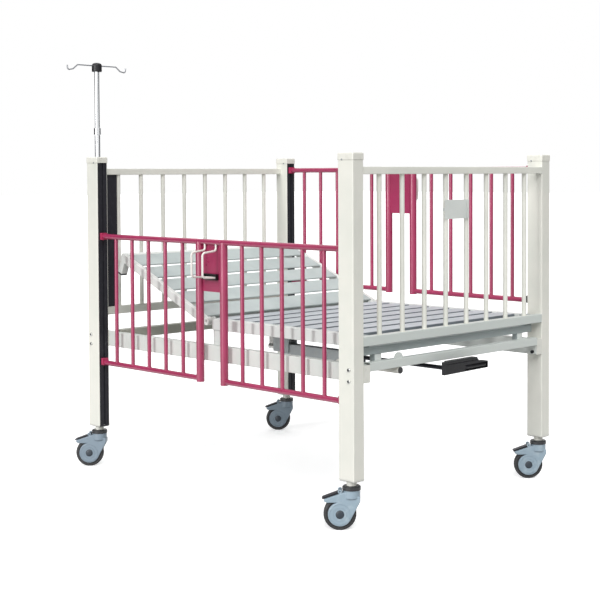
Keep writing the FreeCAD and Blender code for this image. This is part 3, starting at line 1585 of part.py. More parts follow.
def build_fork(name):
    """Moulded fork with a fender arm, and the capped axle."""
    fork = Piece(f"{name}_fork_body")
    disc = fork.sketch("XZ_Plane")
    circle(disc, "wheel_trail", "wheel_radius", "fork_disc")
    fork.pad(disc, "2 * fork_half", symmetric=True)
    tangent = "(atan2(fork_front - wheel_radius; -fork_neck - wheel_trail) + 60.2 deg)"
    neck = fork.sketch("XZ_Plane")
    polygon(
        neck,
        (
            ("-fork_neck", "fork_top - 22"),
            ("-fork_neck", "fork_front"),
            (
                f"wheel_trail + fork_disc * cos({tangent})",
                f"wheel_radius + fork_disc * sin({tangent})",
            ),
            ("wheel_trail", "wheel_radius"),
            ("wheel_trail + 9", "wheel_radius + fork_disc - 1"),
            ("fender_tip_x - 10", "fender_tip_z - fender_thick - 5"),
            ("fender_tip_x", "fender_tip_z - fender_thick"),
            ("fender_tip_x", "fender_tip_z"),
            ("fork_neck", "fender_start"),
            ("0", "fender_start"),
        ),
    )
    fork.pad(neck, "2 * fork_half", symmetric=True)
    half = value("fork_half")
    fork.fillet("fork_round", lambda edge: abs(abs(edge.CenterOfMass.y) - half) < 0.01)
    crown = fork.sketch("XY_Plane", at="fork_top - 26")
    circle(crown, "0", "0", "fork_neck")
    fork.pad(crown, "26")
    ears = fork.sketch("XZ_Plane")
    circle(ears, "pedal_x", "pedal_z", "pedal_boss + 3.5")
    fork.pad(ears, "2 * ear_outer", symmetric=True)
    pedal_gap = fork.sketch("XZ_Plane", at="-ear_inner")
    polygon(
        pedal_gap,
        (
            ("pedal_x - pedal_boss - 4", "fork_top + 2"),
            ("pedal_x - pedal_boss - 4", "fender_start - 1.5"),
            ("fender_tip_x + 3", "fender_tip_z - 2"),
            ("fender_tip_x + 3", "fork_top + 2"),
            ("pedal_x", "fork_top + 9"),
        ),
    )
    fork.pocket(pedal_gap, "2 * ear_inner")
    well = fork.sketch("XZ_Plane", at="-fork_well")
    circle(well, "wheel_trail", "wheel_radius", "fork_clear")
    fork.pocket(well, "2 * fork_well")
    holes = fork.sketch("XZ_Plane")
    circle(holes, "wheel_trail", "wheel_radius", "axle_radius")
    circle(holes, "pedal_x", "pedal_z", "pedal_pin + pin_clearance")
    fork.pocket(holes)
    king = fork.sketch("XY_Plane", at="fork_bore_low")
    circle(king, "0", "0", "king_pin + pin_clearance")
    fork.pocket(king, "fork_top - fork_bore_low + 1")
    axle = Piece(f"{name}_axle")
    profile = axle.sketch("YZ_Plane", at="wheel_trail", origin=("0", "wheel_radius"))
    polygon(
        profile,
        (
            ("-fork_half - axle_cap_high", "0"),
            ("-fork_half - axle_cap_high", "axle_cap - 2"),
            ("-fork_half - 1", "axle_cap"),
            ("-fork_half", "axle_cap"),
            ("-fork_half", "axle_radius"),
            ("fork_half", "axle_radius"),
            ("fork_half", "axle_cap"),
            ("fork_half + 1", "axle_cap"),
            ("fork_half + axle_cap_high", "axle_cap - 2"),
            ("fork_half + axle_cap_high", "0"),
        ),
    )
    axle.revolve(profile, "H_Axis")
    group(f"{name}_caster_fork", place_caster(fork, name), place_caster(axle, name))


def turned_wheel_part(label, name, points):
    """Turn a profile of (across, radius) round the wheel's axle."""
    piece = Piece(label)
    profile = piece.sketch("YZ_Plane", at="wheel_trail", origin=("0", "wheel_radius"))
    polygon(profile, points)
    piece.revolve(profile, "H_Axis")
    place_caster(piece, name).keep()


def build_wheel(name):
    """Wheel disc with its hub, web and rim, and the tyre round it."""
    half = (
        ("hub_half", "axle_radius + pin_clearance"),
        ("hub_half", "hub_boss"),
        ("rim_web", "hub_boss + 3"),
        ("rim_web", "rim_band - 2"),
        ("rim_half", "rim_band"),
        ("rim_half", "tyre_inner"),
    )
    rim = [*half, *[(f"-{across}", radius) for across, radius in reversed(half)]]
    turned_wheel_part(f"{name}_caster_wheel", name, rim)
    half = (
        ("tyre_half - 1", "tyre_inner"),
        ("tyre_half", "tyre_inner + 3"),
        ("tyre_half", "wheel_radius - 6"),
        ("tyre_half - 2", "wheel_radius - 2"),
        ("tyre_half - 6", "wheel_radius"),
    )
    tyre = [*half, *[(f"-({across})", radius) for across, radius in reversed(half)]]
    turned_wheel_part(f"{name}_caster_tyre", name, tyre)


def build_pedal(name):
    """Brake pedal lying along the fender, with its boss and pin."""
    piece = Piece(f"{name}_brake_pedal")
    blade = piece.sketch("XZ_Plane")
    slope = "(fender_start - fender_tip_z) / (fender_tip_x - fork_neck)"
    reach = "(pedal_tip_x - pedal_x)"
    under = f"fender_start + 0.6 - {slope} * (pedal_x - fork_neck)"
    polygon(
        blade,
        (
            ("pedal_x", under),
            ("pedal_tip_x", f"{under} - {slope} * {reach}"),
            ("pedal_tip_x + 2", f"{under} - {slope} * {reach} + pedal_thick - 1"),
            ("pedal_tip_x", f"{under} - {slope} * {reach} + pedal_thick + 1"),
            ("pedal_x", f"{under} + pedal_thick + 3"),
        ),
    )
    piece.pad(blade, "2 * pedal_half", symmetric=True)
    boss = piece.sketch("XZ_Plane")
    circle(boss, "pedal_x", "pedal_z", "pedal_boss")
    piece.pad(boss, "2 * pedal_half", symmetric=True)
    pin = piece.sketch("XZ_Plane")
    circle(pin, "pedal_x", "pedal_z", "pedal_pin")
    piece.pad(pin, "2 * ear_outer", symmetric=True)
    place_caster(piece, name).keep()


def build_cot():
    """Build every piece of the cot."""
    for end in SIDES:
        build_posts(end)
        build_panel(end)
    build_guide_strips()
    build_caps()
    build_side_infill()
    build_card_holder()
    build_base_frame()
    build_accessory_tube()
    build_plugs()
    build_frame_bolts()
    build_seat()
    build_hinge_brackets()
    build_backrest_frame()
    build_backrest_slats()
    build_backrest_feet()
    build_hinge_pins()
    build_lift_lever()
    build_screw_channel()
    build_thrust_bearing()
    build_lead_screw()
    build_crank_arm()
    build_crank_grip()
    build_screw_nut()
    build_push_rod()
    for name in ("near", "far"):
        build_rail_grid(name)
        build_latch_plate(name)
        build_latch_block(name)
        build_sliders(name)
        build_latch_handle(name)
    build_pole_tubes()
    build_hook_hub()
    build_hooks()
    build_caster_stems()
    for name in CASTERS:
        build_fork(name)
        build_wheel(name)
        build_pedal(name)


def check_document():
    """Stop if any object failed or any node's shape is null or not valid."""
    for item in doc.Objects:
        if "Invalid" in item.State or "Error" in item.State:
            raise RuntimeError(f"{item.Label} failed: {item.State}")
    for node in nodes:
        if node.Shape.isNull() or not node.Shape.isValid() or not node.Shape.Solids:
            raise RuntimeError(f"{node.Label} has no valid solid")


def export_nodes():
    """Write each node's shape to a STEP file named after it."""
    os.makedirs(OUTPUT, exist_ok=True)
    for node in nodes:
        shape = node.Shape.copy()
        shape.translate(Vector(0, value("middle_y"), 0))
        shape.exportStep(os.path.join(OUTPUT, f"{node.Label}.step"))
        volume = shape.Volume / 1000
        print(f"{node.Label}: {len(node.Shape.Solids)} solids, {volume:.1f} cm3")


build_cot()
doc.recompute()
check_document()
export_nodes()
print(f"{len(nodes)} nodes")
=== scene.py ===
"""Dressed model of a paediatric hospital cot: finishes, weld seams, screws, threads and studio."""

import logging
import math
from dataclasses import dataclass, replace
from enum import Enum
from typing import Any, ClassVar, Iterable

import bmesh
import bpy
from mathutils import Euler, Matrix, Vector


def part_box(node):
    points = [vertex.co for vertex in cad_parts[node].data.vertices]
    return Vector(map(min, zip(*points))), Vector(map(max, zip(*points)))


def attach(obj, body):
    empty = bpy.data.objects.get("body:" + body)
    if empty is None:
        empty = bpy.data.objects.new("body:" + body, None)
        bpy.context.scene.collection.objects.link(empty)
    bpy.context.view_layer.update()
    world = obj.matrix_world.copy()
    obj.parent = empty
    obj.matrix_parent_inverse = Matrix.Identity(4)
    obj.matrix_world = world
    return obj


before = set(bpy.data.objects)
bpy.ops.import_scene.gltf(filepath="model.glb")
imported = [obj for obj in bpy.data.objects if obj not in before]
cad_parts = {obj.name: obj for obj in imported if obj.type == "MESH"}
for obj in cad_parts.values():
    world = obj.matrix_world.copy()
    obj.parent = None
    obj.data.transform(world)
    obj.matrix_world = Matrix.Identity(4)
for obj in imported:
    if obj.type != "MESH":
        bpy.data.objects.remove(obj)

LOG = logging.getLogger("cot")
MM = 0.001
POST_Y = 520 * MM
UP, DOWN = Vector((0, 0, 1)), Vector((0, 0, -1))
BEVEL_SAMPLES = 4
FACING = "facing"
# The Mix node's colour sockets, by place, because those for numbers have the same names.
MIX_FACTOR, MIX_UNDER, MIX_OVER, MIX_RESULT = 0, 6, 7, 2

Tree = bpy.types.NodeTree
Node = bpy.types.Node
Socket = bpy.types.NodeSocket
Places = list[tuple[Vector, Vector]]


class Body(Enum):
    """Rigid bodies that pieces ride on, apart from the casters'."""

    FRAME = "cot_frame"
    CRANK = "crank"
    NEAR_RAIL = "near_side_rail"
    FAR_RAIL = "far_side_rail"


class Corner(Enum):
    """The four legs: their name, and their signs along and across the cot."""

    NEAR_FOOT = ("near_foot", 1, -1)
    FAR_FOOT = ("far_foot", 1, 1)
    NEAR_HEAD = ("near_head", -1, -1)
    FAR_HEAD = ("far_head", -1, 1)

    def __init__(self, label: str, x_side: int, y_side: int) -> None:
        """Name the leg's three values.

        Args:
            label: The leg's name, with which its caster's nodes begin.
            x_side: 1 at the foot end, -1 at the head end.
            y_side: 1 on the far side, -1 on the near side.
        """
        self.label = label
        self.x_side = x_side
        self.y_side = y_side


# ---- helpers


def linear(code: str) -> tuple[float, float, float, float]:
    """Turn an sRGB hex value into a linear colour, with the numbers of the sRGB standard.

    Args:
        code: Six hex digits.

    Returns:
        Red, green, blue and an alpha of 1.
    """
    parts = [int(code[i : i + 2], 16) / 255 for i in (0, 2, 4)]
    red, green, blue = (
        part / 12.92 if part <= 0.04045 else ((part + 0.055) / 1.055) ** 2.4 for part in parts
    )
    return red, green, blue, 1.0


def add(tree: Tree, kind: str, inputs: dict[Any, Any] | None = None, **settings: Any) -> Node:
    """Add a node with its settings, constants and links.

    Args:
        tree: The tree to add to.
        kind: The node's type.
        inputs: Socket name or index to a constant, or to an output socket to link from.
        settings: The node's own properties.

    Returns:
        The new node.
    """
    node = tree.nodes.new(kind)
    for name, setting in settings.items():
        setattr(node, name, setting)
    for key, given in (inputs or {}).items():
        if isinstance(given, Socket):
            tree.links.new(given, node.inputs[key])
        else:
            node.inputs[key].default_value = given
    return node


def empty_tree(owner: bpy.types.ID) -> Tree:
    """Turn on the nodes of a world or a material, and clear them.

    Args:
        owner: The world or the material.

    Returns:
        Its empty tree.
    """
    owner.use_nodes = True
    owner.node_tree.nodes.clear()
    return owner.node_tree


def around(count: int) -> list[tuple[int, int]]:
    """Return each place in a closed loop together with the next one."""
    return [(i, (i + 1) % count) for i in range(count)]


def to_mesh(name: str, shape: bmesh.types.BMesh) -> bpy.types.Mesh:
    """Turn a shape into a mesh.

    Args:
        name: The mesh's name.
        shape: The shape, which is freed.

    Returns:
        The mesh.
    """
    mesh = bpy.data.meshes.new(name)
    shape.to_mesh(mesh)
    shape.free()
    return mesh


def joined(name: str, meshes: Iterable[bpy.types.Mesh]) -> bpy.types.Mesh:
    """Join meshes to one.

    Args:
        name: The new mesh's name.
        meshes: The meshes, which are removed.

    Returns:
        The new mesh.
    """
    whole = bmesh.new()
    for mesh in meshes:
        whole.from_mesh(mesh)
        bpy.data.meshes.remove(mesh)
    return to_mesh(name, whole)


def link_new(name: str, data: bpy.types.ID) -> bpy.types.Object:
    """Make an object and put it in the scene.

    Args:
        name: The object's name.
        data: Its mesh, light or camera.

    Returns:
        The object.
    """
    thing = bpy.data.objects.new(name, data)
    bpy.context.scene.collection.objects.link(thing)
    return thing


def keep_mesh(
    name: str, mesh: bpy.types.Mesh, body: str, finish: bpy.types.Material
) -> None:
    """Make a finished piece of a mesh whose place is in its vertices.

    Args:
        name: The piece's name.
        mesh: Its mesh, in the row frame, in metres.
        body: The body it rides on.
        finish: Its material.
    """
    mesh.name = name
    mesh.materials.clear()
    mesh.materials.append(finish)
    piece = link_new(name, mesh)
    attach(piece, body)
    LOG.info("%s rides on %s: %d faces", name, body, len(mesh.polygons))


# ---- finishes


@dataclass(frozen=True)
class Band:
    """A second colour where a coordinate lies within half a width of a centre."""

    colour: str
    axis: str
    centre_mm: float
    half_mm: float


@dataclass(frozen=True)
class Surface:
    """What a finish is laid on: a material's tree, its shader, and the coordinates to read."""

    tree: Tree
    shader: Node
    place: Socket

    def grain(self, size_mm: float, detail: float = 2.0) -> Socket:
        """Return the height of an even grain of a given size, in a number of octaves."""
        inputs = {"Vector": self.place, "Scale": 1 / (size_mm * MM), "Detail": detail}
        return add(self.tree, "ShaderNodeTexNoise", inputs).outputs[0]

    def between(self, factor: Socket, limits: tuple[float, float]) -> Socket:
        """Return a factor stretched between two of its values."""
        inputs = {"Value": factor, "From Min": limits[0], "From Max": limits[1]}
        return add(self.tree, "ShaderNodeMapRange", inputs).outputs[0]

    def lay(self, factor: Socket, under: Any, over: Any) -> None:
        """Mix one colour over another into the base colour.

        Args:
            factor: How much of the upper colour shows.
            under: The lower colour, or the socket that gives it.
            over: The upper colour.
        """
        inputs = {MIX_FACTOR: factor, MIX_UNDER: under, MIX_OVER: over}
        mix = add(self.tree, "ShaderNodeMix", inputs, data_type="RGBA")
        self.tree.links.new(mix.outputs[MIX_RESULT], self.shader.inputs["Base Color"])

    def cover(self, factor: Socket, colour: str) -> None:
        """Lay one more colour over what gives the base colour so far."""
        under = self.shader.inputs["Base Color"].links[0].from_socket
        self.lay(factor, under, linear(colour))

    def vary_gloss(
        self, pattern: Socket, ends: tuple[float, float], limits: tuple[float, float] = (0.0, 1.0)
    ) -> None:
        """Let the roughness follow a pattern.

        Args:
            pattern: The pattern.
            ends: The roughness where the pattern is at its low and at its high limit.
            limits: The pattern's limits.
        """
        inputs = {"Value": pattern, "From Min": limits[0], "From Max": limits[1]}
        inputs |= {"To Min": ends[0], "To Max": ends[1]}
        gloss = add(self.tree, "ShaderNodeMapRange", inputs).outputs[0]
        self.tree.links.new(gloss, self.shader.inputs["Roughness"])

    def bump(self, height: Socket, depth_mm: float, edge_mm: float) -> None:
        """Raise a pattern on a surface whose edges look rounded.

        Args:
            height: The pattern.
            depth_mm: How deep it is.
            edge_mm: The radius of the rounded edges.
        """
        inputs = {"Radius": edge_mm * MM}
        rounded = add(self.tree, "ShaderNodeBevel", inputs, samples=BEVEL_SAMPLES).outputs[0]
        inputs = {"Height": height, "Distance": depth_mm * MM, "Normal": rounded}
        bumped = add(self.tree, "ShaderNodeBump", inputs).outputs[0]
        self.tree.links.new(bumped, self.shader.inputs["Normal"])


@dataclass(frozen=True)
class Finish:
    """A finish: its own name, its colour, its gloss, and how rounded its edges look.

    The side shade colour is painted shade on faces that look along the cot. The sheen is the
    specular level.
    """

    name: str
    colour: str
    roughness: float = 0.4
    edge_mm: float = 0.8
    band: Band | None = None
    side_shade_colour: str = ""
    side_shade_limits: tuple[float, float] = (0.3, 0.7)
    coat: float = 0.0
    coat_roughness: float = 0.16
    sheen_level: float = 0.5

    def material(self) -> bpy.types.Material:
        """Build the material, or find it where it is built already.

        Returns:
            The material.
        """
        if self.name in bpy.data.materials:
            return bpy.data.materials[self.name]
        material = bpy.data.materials.new(self.name)
        material.use_nodes = True
        material.diffuse_color = linear(self.colour)
        tree = material.node_tree
        shader = tree.nodes["Principled BSDF"]
        constants = {
            "Base Color": linear(self.colour),
            "Roughness": self.roughness,
            "Coat Weight": self.coat,
            "Coat Roughness": self.coat_roughness,
            "Specular IOR Level": self.sheen_level,
        }
        for name, constant in constants.items():
            shader.inputs[name].default_value = constant
        place = add(tree, "ShaderNodeTexCoord").outputs["Object"]
        surface = Surface(tree, shader, place)
        self.dress(surface)
        if self.side_shade_colour:
            self.lay_side_shade(surface)
        if self.band:
            self.lay_band(surface, self.band)
        return material

    def dress(self, surface: Surface) -> None:
        """Add the finish's own pattern."""

    def tint(self, surface: Surface, factor: Socket, tone: str) -> None:
        """Let the finish's colour turn to a tone where a pattern is high."""
        surface.lay(factor, linear(self.colour), linear(tone))

    def lay_band(self, surface: Surface, band: Band) -> None:
        """Cover a band of a surface with the band's colour.

        Args:
            surface: The surface.
            band: The band.
        """
        apart = add(surface.tree, "ShaderNodeSeparateXYZ", {0: surface.place}).outputs[band.axis]
        limits = {0: apart, 1: band.centre_mm * MM, 2: band.half_mm * MM}
        inside = add(surface.tree, "ShaderNodeMath", limits, operation="COMPARE").outputs[0]
        surface.cover(inside, band.colour)

    def lay_side_shade(self, surface: Surface) -> None:
        """Cover the faces that look along the cot with the side shade colour: painted shade.

        Args:
            surface: The surface.
        """
        normal = add(surface.tree, "ShaderNodeTexCoord").outputs["Normal"]
        along = add(surface.tree, "ShaderNodeSeparateXYZ", {0: normal}).outputs["X"]
        size = add(surface.tree, "ShaderNodeMath", {0: along}, operation="ABSOLUTE").outputs[0]
        # Painted shade: darker where a face looks along the cot.
        surface.cover(surface.between(size, self.side_shade_limits), self.side_shade_colour)


@dataclass(frozen=True)
class PowderCoat(Finish):
    """Polyester powder coat on steel tube.

    Sprayed as powder and baked, so that it flows into a thick glossy film with a faint orange
    peel; the film pools slightly, which gives slow changes of tone, and it dulls a little where
    hands rub it.
    """

    tone: str = "E6E4DA"
    peel_mm: float = 3.5
    peel_depth_mm: float = 0.03
    pool_mm: float = 140.0
    pool_limits: tuple[float, float] = (0.35, 0.68)
    wear_mm: float = 45.0
    wear_limits: tuple[float, float] = (0.3, 0.7)
    polished: float = 0.06
    dulled: float = 0.1

    def dress(self, surface: Surface) -> None:
        """Lay the orange peel, 3 to 4 mm wide, about twice the real one, so that it shows.

        Args:
            surface: The surface.
        """
        pools = surface.grain(self.pool_mm, 3.0)
        self.tint(surface, surface.between(pools, self.pool_limits), self.tone)
        wear = surface.grain(self.wear_mm, 4.0)
        ends = (self.roughness - self.polished, self.roughness + self.dulled)
        surface.vary_gloss(wear, ends, self.wear_limits)
        surface.bump(surface.grain(self.peel_mm), self.peel_depth_mm, self.edge_mm)


@dataclass(frozen=True)
class MouldedPlastic(Finish):
    """Injection-moulded nylon, ABS or PVC with a spark-eroded grain.

    The grain breaks up the reflection, so that the plastic looks dry and even, with pale scuffs.
    """

    tone: str = "3A3A40"
    grain_mm: float = 0.9
    depth_mm: float = 0.04
    scuff_mm: float = 22.0
    scuff_limits: tuple[float, float] = (0.52, 0.72)

    def dress(self, surface: Surface) -> None:
        """Lay the spark-eroded grain and slow scuffs.

        Args:
            surface: The surface.
        """
        scuffs = surface.grain(self.scuff_mm, 5.0)
        self.tint(surface, surface.between(scuffs, self.scuff_limits), self.tone)
        surface.bump(surface.grain(self.grain_mm), self.depth_mm, self.edge_mm)


@dataclass(frozen=True)
class TyreRubber(Finish):
    """Moulded thermoplastic rubber, grey-black and matt, with floor dust in its texture."""

    dust: str = "4A4846"
    patch_mm: float = 9.0
    patch_limits: tuple[float, float] = (0.5, 0.78)
    texture_mm: float = 1.2
    texture_depth_mm: float = 0.06

    def dress(self, surface: Surface) -> None:
        """Lay dust in patches over a fine moulded texture.

        Args:
            surface: The surface.
        """
        patches = surface.grain(self.patch_mm, 6.0)
        self.tint(surface, surface.between(patches, self.patch_limits), self.dust)
        surface.bump(surface.grain(self.texture_mm), self.texture_depth_mm, self.edge_mm)


@dataclass(frozen=True)
class ZincPlate(Finish):
    """Zinc-plated steel, passivated: soft grey with a cloudy, slightly warm and cool shimmer."""

    tone: str = "B9B7AE"
    cloud_mm: float = 12.0
    clear: float = 0.1
    cloudy: float = 0.12
    grain_mm: float = 0.8
    depth_mm: float = 0.01

    def dress(self, surface: Surface) -> None:
        """Cloud the passivation and its gloss.

        Args:
            surface: The surface.
        """
        surface.shader.inputs["Metallic"].default_value = 1.0
        clouds = surface.grain(self.cloud_mm, 4.0)
        self.tint(surface, clouds, self.tone)
        surface.vary_gloss(clouds, (self.roughness - self.clear, self.roughness + self.cloudy))
        surface.bump(surface.grain(self.grain_mm), self.depth_mm, self.edge_mm)


@dataclass(frozen=True)
class DrawnChrome(Finish):
    """Chromed drawn tube or wire: a bright mirror broken by faint lines along it."""

    along: tuple[float, float, float] = (1.0, 1.0, 0.02)
    line_mm: float = 1.0
    line_depth_mm: float = 0.004
    brightest: float = 0.6
    dullest: float = 1.6

    def dress(self, surface: Surface) -> None:
        """Draw lines 1 mm wide and 50 mm long, coarser than polishing marks, so that they show.

        Args:
            surface: The surface.
        """
        surface.shader.inputs["Metallic"].default_value = 1.0
        inputs = {"Vector": surface.place, "Scale": self.along}
        stretched = add(surface.tree, "ShaderNodeMapping", inputs).outputs[0]
        lines = replace(surface, place=stretched).grain(self.line_mm, 3.0)
        ends = (self.roughness * self.brightest, self.roughness * self.dullest)
        surface.vary_gloss(lines, ends)
        surface.bump(lines, self.line_depth_mm, self.edge_mm)


# Powder coats: even, glossy colours whose faint peel softens what they reflect.
IVORY = PowderCoat("ivory powder coat", "EBEAE1", 0.38, 1.4, tone="E3E4DB")
FRAME_WHITE = PowderCoat("cool white powder coat", "E6E9E5", 0.4, 1.2, tone="DCE0DC")
WELD_IVORY = PowderCoat("ivory powder coat on weld", "E9E7DD", 0.42, 0.4, tone="DDDCD0")
RASPBERRY = PowderCoat("raspberry powder coat", "A52A59", 0.32, 0.8, tone="98244F", coat=0.35)
WELD_RASPBERRY = PowderCoat("raspberry powder coat on weld", "A52A58", 0.34, 0.4, tone="90244A")
SLAT_GREY = PowderCoat("pale grey powder coat", "B4BFBD", 0.42, 1.2, tone="A9B5B4")
# Seat slats: the dark side colour is painted shade on the faces that look along the cot, the slats'
# folds.
SEAT_GREY = PowderCoat(
    "pale grey powder coat, painted shade on sides", "C1C8CE", 0.42, 1.2, tone="B6BEC4", side_shade_colour="747C83"
)
# Seat frame: the grey band round the foot end rail and its struts is painted shade, below the
# footboard's lower rail.
SEAT_WHITE = PowderCoat(
    "cool white powder coat, painted shade on end rail", "E2E6E3", 0.4, 1.2,
    Band("A2ACAC", "X", 705.0, 16.0), tone="D8DDDA",
)
# Footboard: a darker grey-green band over the lower rail.
PANEL_IVORY = PowderCoat(
    "ivory powder coat, darker lower rail band", "EDEDE4", 0.38, 1.2,
    Band("CFD6D2", "Z", 627.0, 16.5), tone="E4E5DC",
)
# Base cross members: the dark grey outside the foot-end band is painted shade on the head-end cross
# member, in shadow under the platform; the foot-end band is cool ivory.
CROSS_IVORY = PowderCoat(
    "cool ivory powder coat, painted shade at head end", "ACACA0", 0.38, 1.2,
    Band("D2D8D4", "X", 700.0, 120.0), tone="A2A296",
)
BASE_IVORY = PowderCoat("pale grey-green powder coat", "E2E6E1", 0.38, 1.2, tone="D8DED9")
WIRE_WHITE = PowderCoat("white gloss coat on wire", "F1F1EC", 0.3, 0.4, tone="E4E2DA")
CARD_GREY = PowderCoat("grey powder coat on sheet", "E6EAE6", 0.42, 0.6, tone="DADFDB")
# Moulded plastics: dry and even, with a soft sheen on their edges.
BLACK_NYLON = MouldedPlastic("black nylon", "1D1D24", 0.5, 0.7, sheen_level=0.3, tone="28282F")
BLACK_ABS = MouldedPlastic(
    "black ABS", "131316", 0.44, 1.2, sheen_level=0.3, tone="1F1F24", grain_mm=1.4, depth_mm=0.07
)
RED_NYLON = MouldedPlastic(
    "raspberry and black nylon", "B02E58", 0.36, 0.8,
    Band("232326", "Z", 694.0, 30.0), tone="BE4068",
)
IVORY_ABS = MouldedPlastic("ivory ABS", "EAE9E0", 0.36, 2.0, tone="E0DFD5")
# Caster forks: the darker band over the head-end forks is painted shade; the forks themselves are
# alike.
FORK_NYLON_HEAD_SHADE = MouldedPlastic(
    "blue-grey nylon", "95A8B5", 0.42, 3.0,
    Band("8393A0", "X", -760.0, 400.0), tone="A9B9C3", grain_mm=1.4,
)
WHEEL_NYLON = MouldedPlastic("grey nylon", "848F9A", 0.45, 1.0, tone="929DA7")
CAP_NYLON = MouldedPlastic("dark blue-grey nylon", "1E2933", 0.5, 1.5, tone="283542")
PLUG_PVC = MouldedPlastic(
    "ivory and black PVC", "E4E4DC", 0.45, 0.8,
    Band("232326", "Y", -278.0, 40.0), tone="D8D8CE",
)
STEM_ABS = MouldedPlastic(
    "ivory and black ABS", "E6E6DE", 0.4, 0.8,
    Band("18191D", "Z", 128.0, 20.6), tone="DADAD0",
)
# Moulded rubbers: matt, with pale dust in their hollows.
TYRE = TyreRubber("grey-black tyre rubber", "19191C", 0.66, 0.8, dust="363637")
PAD_RUBBER = TyreRubber("black pad rubber", "1F1F22", 0.6, 1.0, dust="35353A")
# Metals: plated steel with a cloudy shine, bronze as cast, and chrome that mirrors the room.
ZINC = ZincPlate("zinc-plated steel", "A3A7AB", 0.34, 0.5)
SCREW_STEEL = ZincPlate(
    "zinc-plated and blackened steel", "A3A7AB", 0.36, 0.5, Band("25262A", "X", 700.0, 335.0)
)
BOLT_STEEL = ZincPlate(
    "zinc-plated steel, blackened nuts", "A3A7AB", 0.34, 0.5, Band("242528", "Y", 36.0, 500.0)
)
DARK_ZINC = ZincPlate("dull zinc-plated steel", "8A9093", 0.45, 0.8, tone="9A9E9D")
NUT_BRONZE = ZincPlate("cast bronze", "A98A52", 0.38, 0.6, tone="8E7344")
CHROME = DrawnChrome("drawn chrome", "D8DADC", 0.12, 0.4)
HOOK_CHROME = DrawnChrome("chromed wire", "94969A", 0.2, 0.2, along=(1.0, 0.02, 1.0))

NODE_FINISHES: dict[str, Finish] = {
    "foot_posts": IVORY,
    "head_posts": IVORY,
    "footboard_grid": PANEL_IVORY,
    "headboard_grid": IVORY,
    "rail_guide_strips": BLACK_NYLON,
    "post_caps": IVORY_ABS,
    "headboard_side_infill": BLACK_NYLON,
    "card_holder": CARD_GREY,
    "base_side_rails": BASE_IVORY,
    "base_cross_members": CROSS_IVORY,
    "accessory_tube": IVORY,
    "tube_end_plugs": PLUG_PVC,
    "frame_bolts": BOLT_STEEL,
    "seat_frame": SEAT_WHITE,
    "seat_slats": SEAT_GREY,
    "backrest_hinge_brackets": FRAME_WHITE,
    "backrest_frame": FRAME_WHITE,
    "backrest_slats": SLAT_GREY,
    "backrest_foot_stubs": FRAME_WHITE,
    "backrest_foot_pads": PAD_RUBBER,
    "backrest_hinge_pins": ZINC,
    "backrest_lift_lever": ZINC,
    "screw_guide_channel": DARK_ZINC,
    "screw_thrust_bearing": BLACK_NYLON,
    "lead_screw": SCREW_STEEL,
    "crank_arm": BLACK_ABS,
    "crank_grip": BLACK_ABS,
    "screw_nut": NUT_BRONZE,
    "push_rod": ZINC,
    "iv_pole_lower_tube": CHROME,
    "iv_pole_upper_tube": CHROME,
    "iv_pole_hub": BLACK_ABS,
    "iv_pole_hooks": HOOK_CHROME,
    "caster_stems": STEM_ABS,
}
RAIL_FINISHES: dict[str, Finish] = {
    "rail_grid": RASPBERRY,
    "latch_plate": RASPBERRY,
    "latch_block": BLACK_ABS,
    "rail_sliders": RED_NYLON,
    "latch_handle": WIRE_WHITE,
}
CASTER_FINISHES: dict[str, Finish] = {
    "caster_fork": FORK_NYLON_HEAD_SHADE,
    "caster_wheel": WHEEL_NYLON,
    "caster_tyre": TYRE,
    "brake_pedal": BLACK_NYLON,
}


def dress_nodes() -> None:
    """Give every CAD node its finish."""
    finishes = dict(NODE_FINISHES)
    for side in ("near", "far"):
        finishes |= {f"{side}_{part}": finish for part, finish in RAIL_FINISHES.items()}
    for corner in Corner:
        finishes |= {f"{corner.label}_{part}": finish for part, finish in CASTER_FINISHES.items()}
    for name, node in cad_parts.items():
        material = finishes[name].material()
        if not node.material_slots:
            node.data.materials.append(material)
        for slot in node.material_slots:
            slot.material = material
    LOG.info("%d CAD nodes dressed", len(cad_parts))


# ---- repetitions


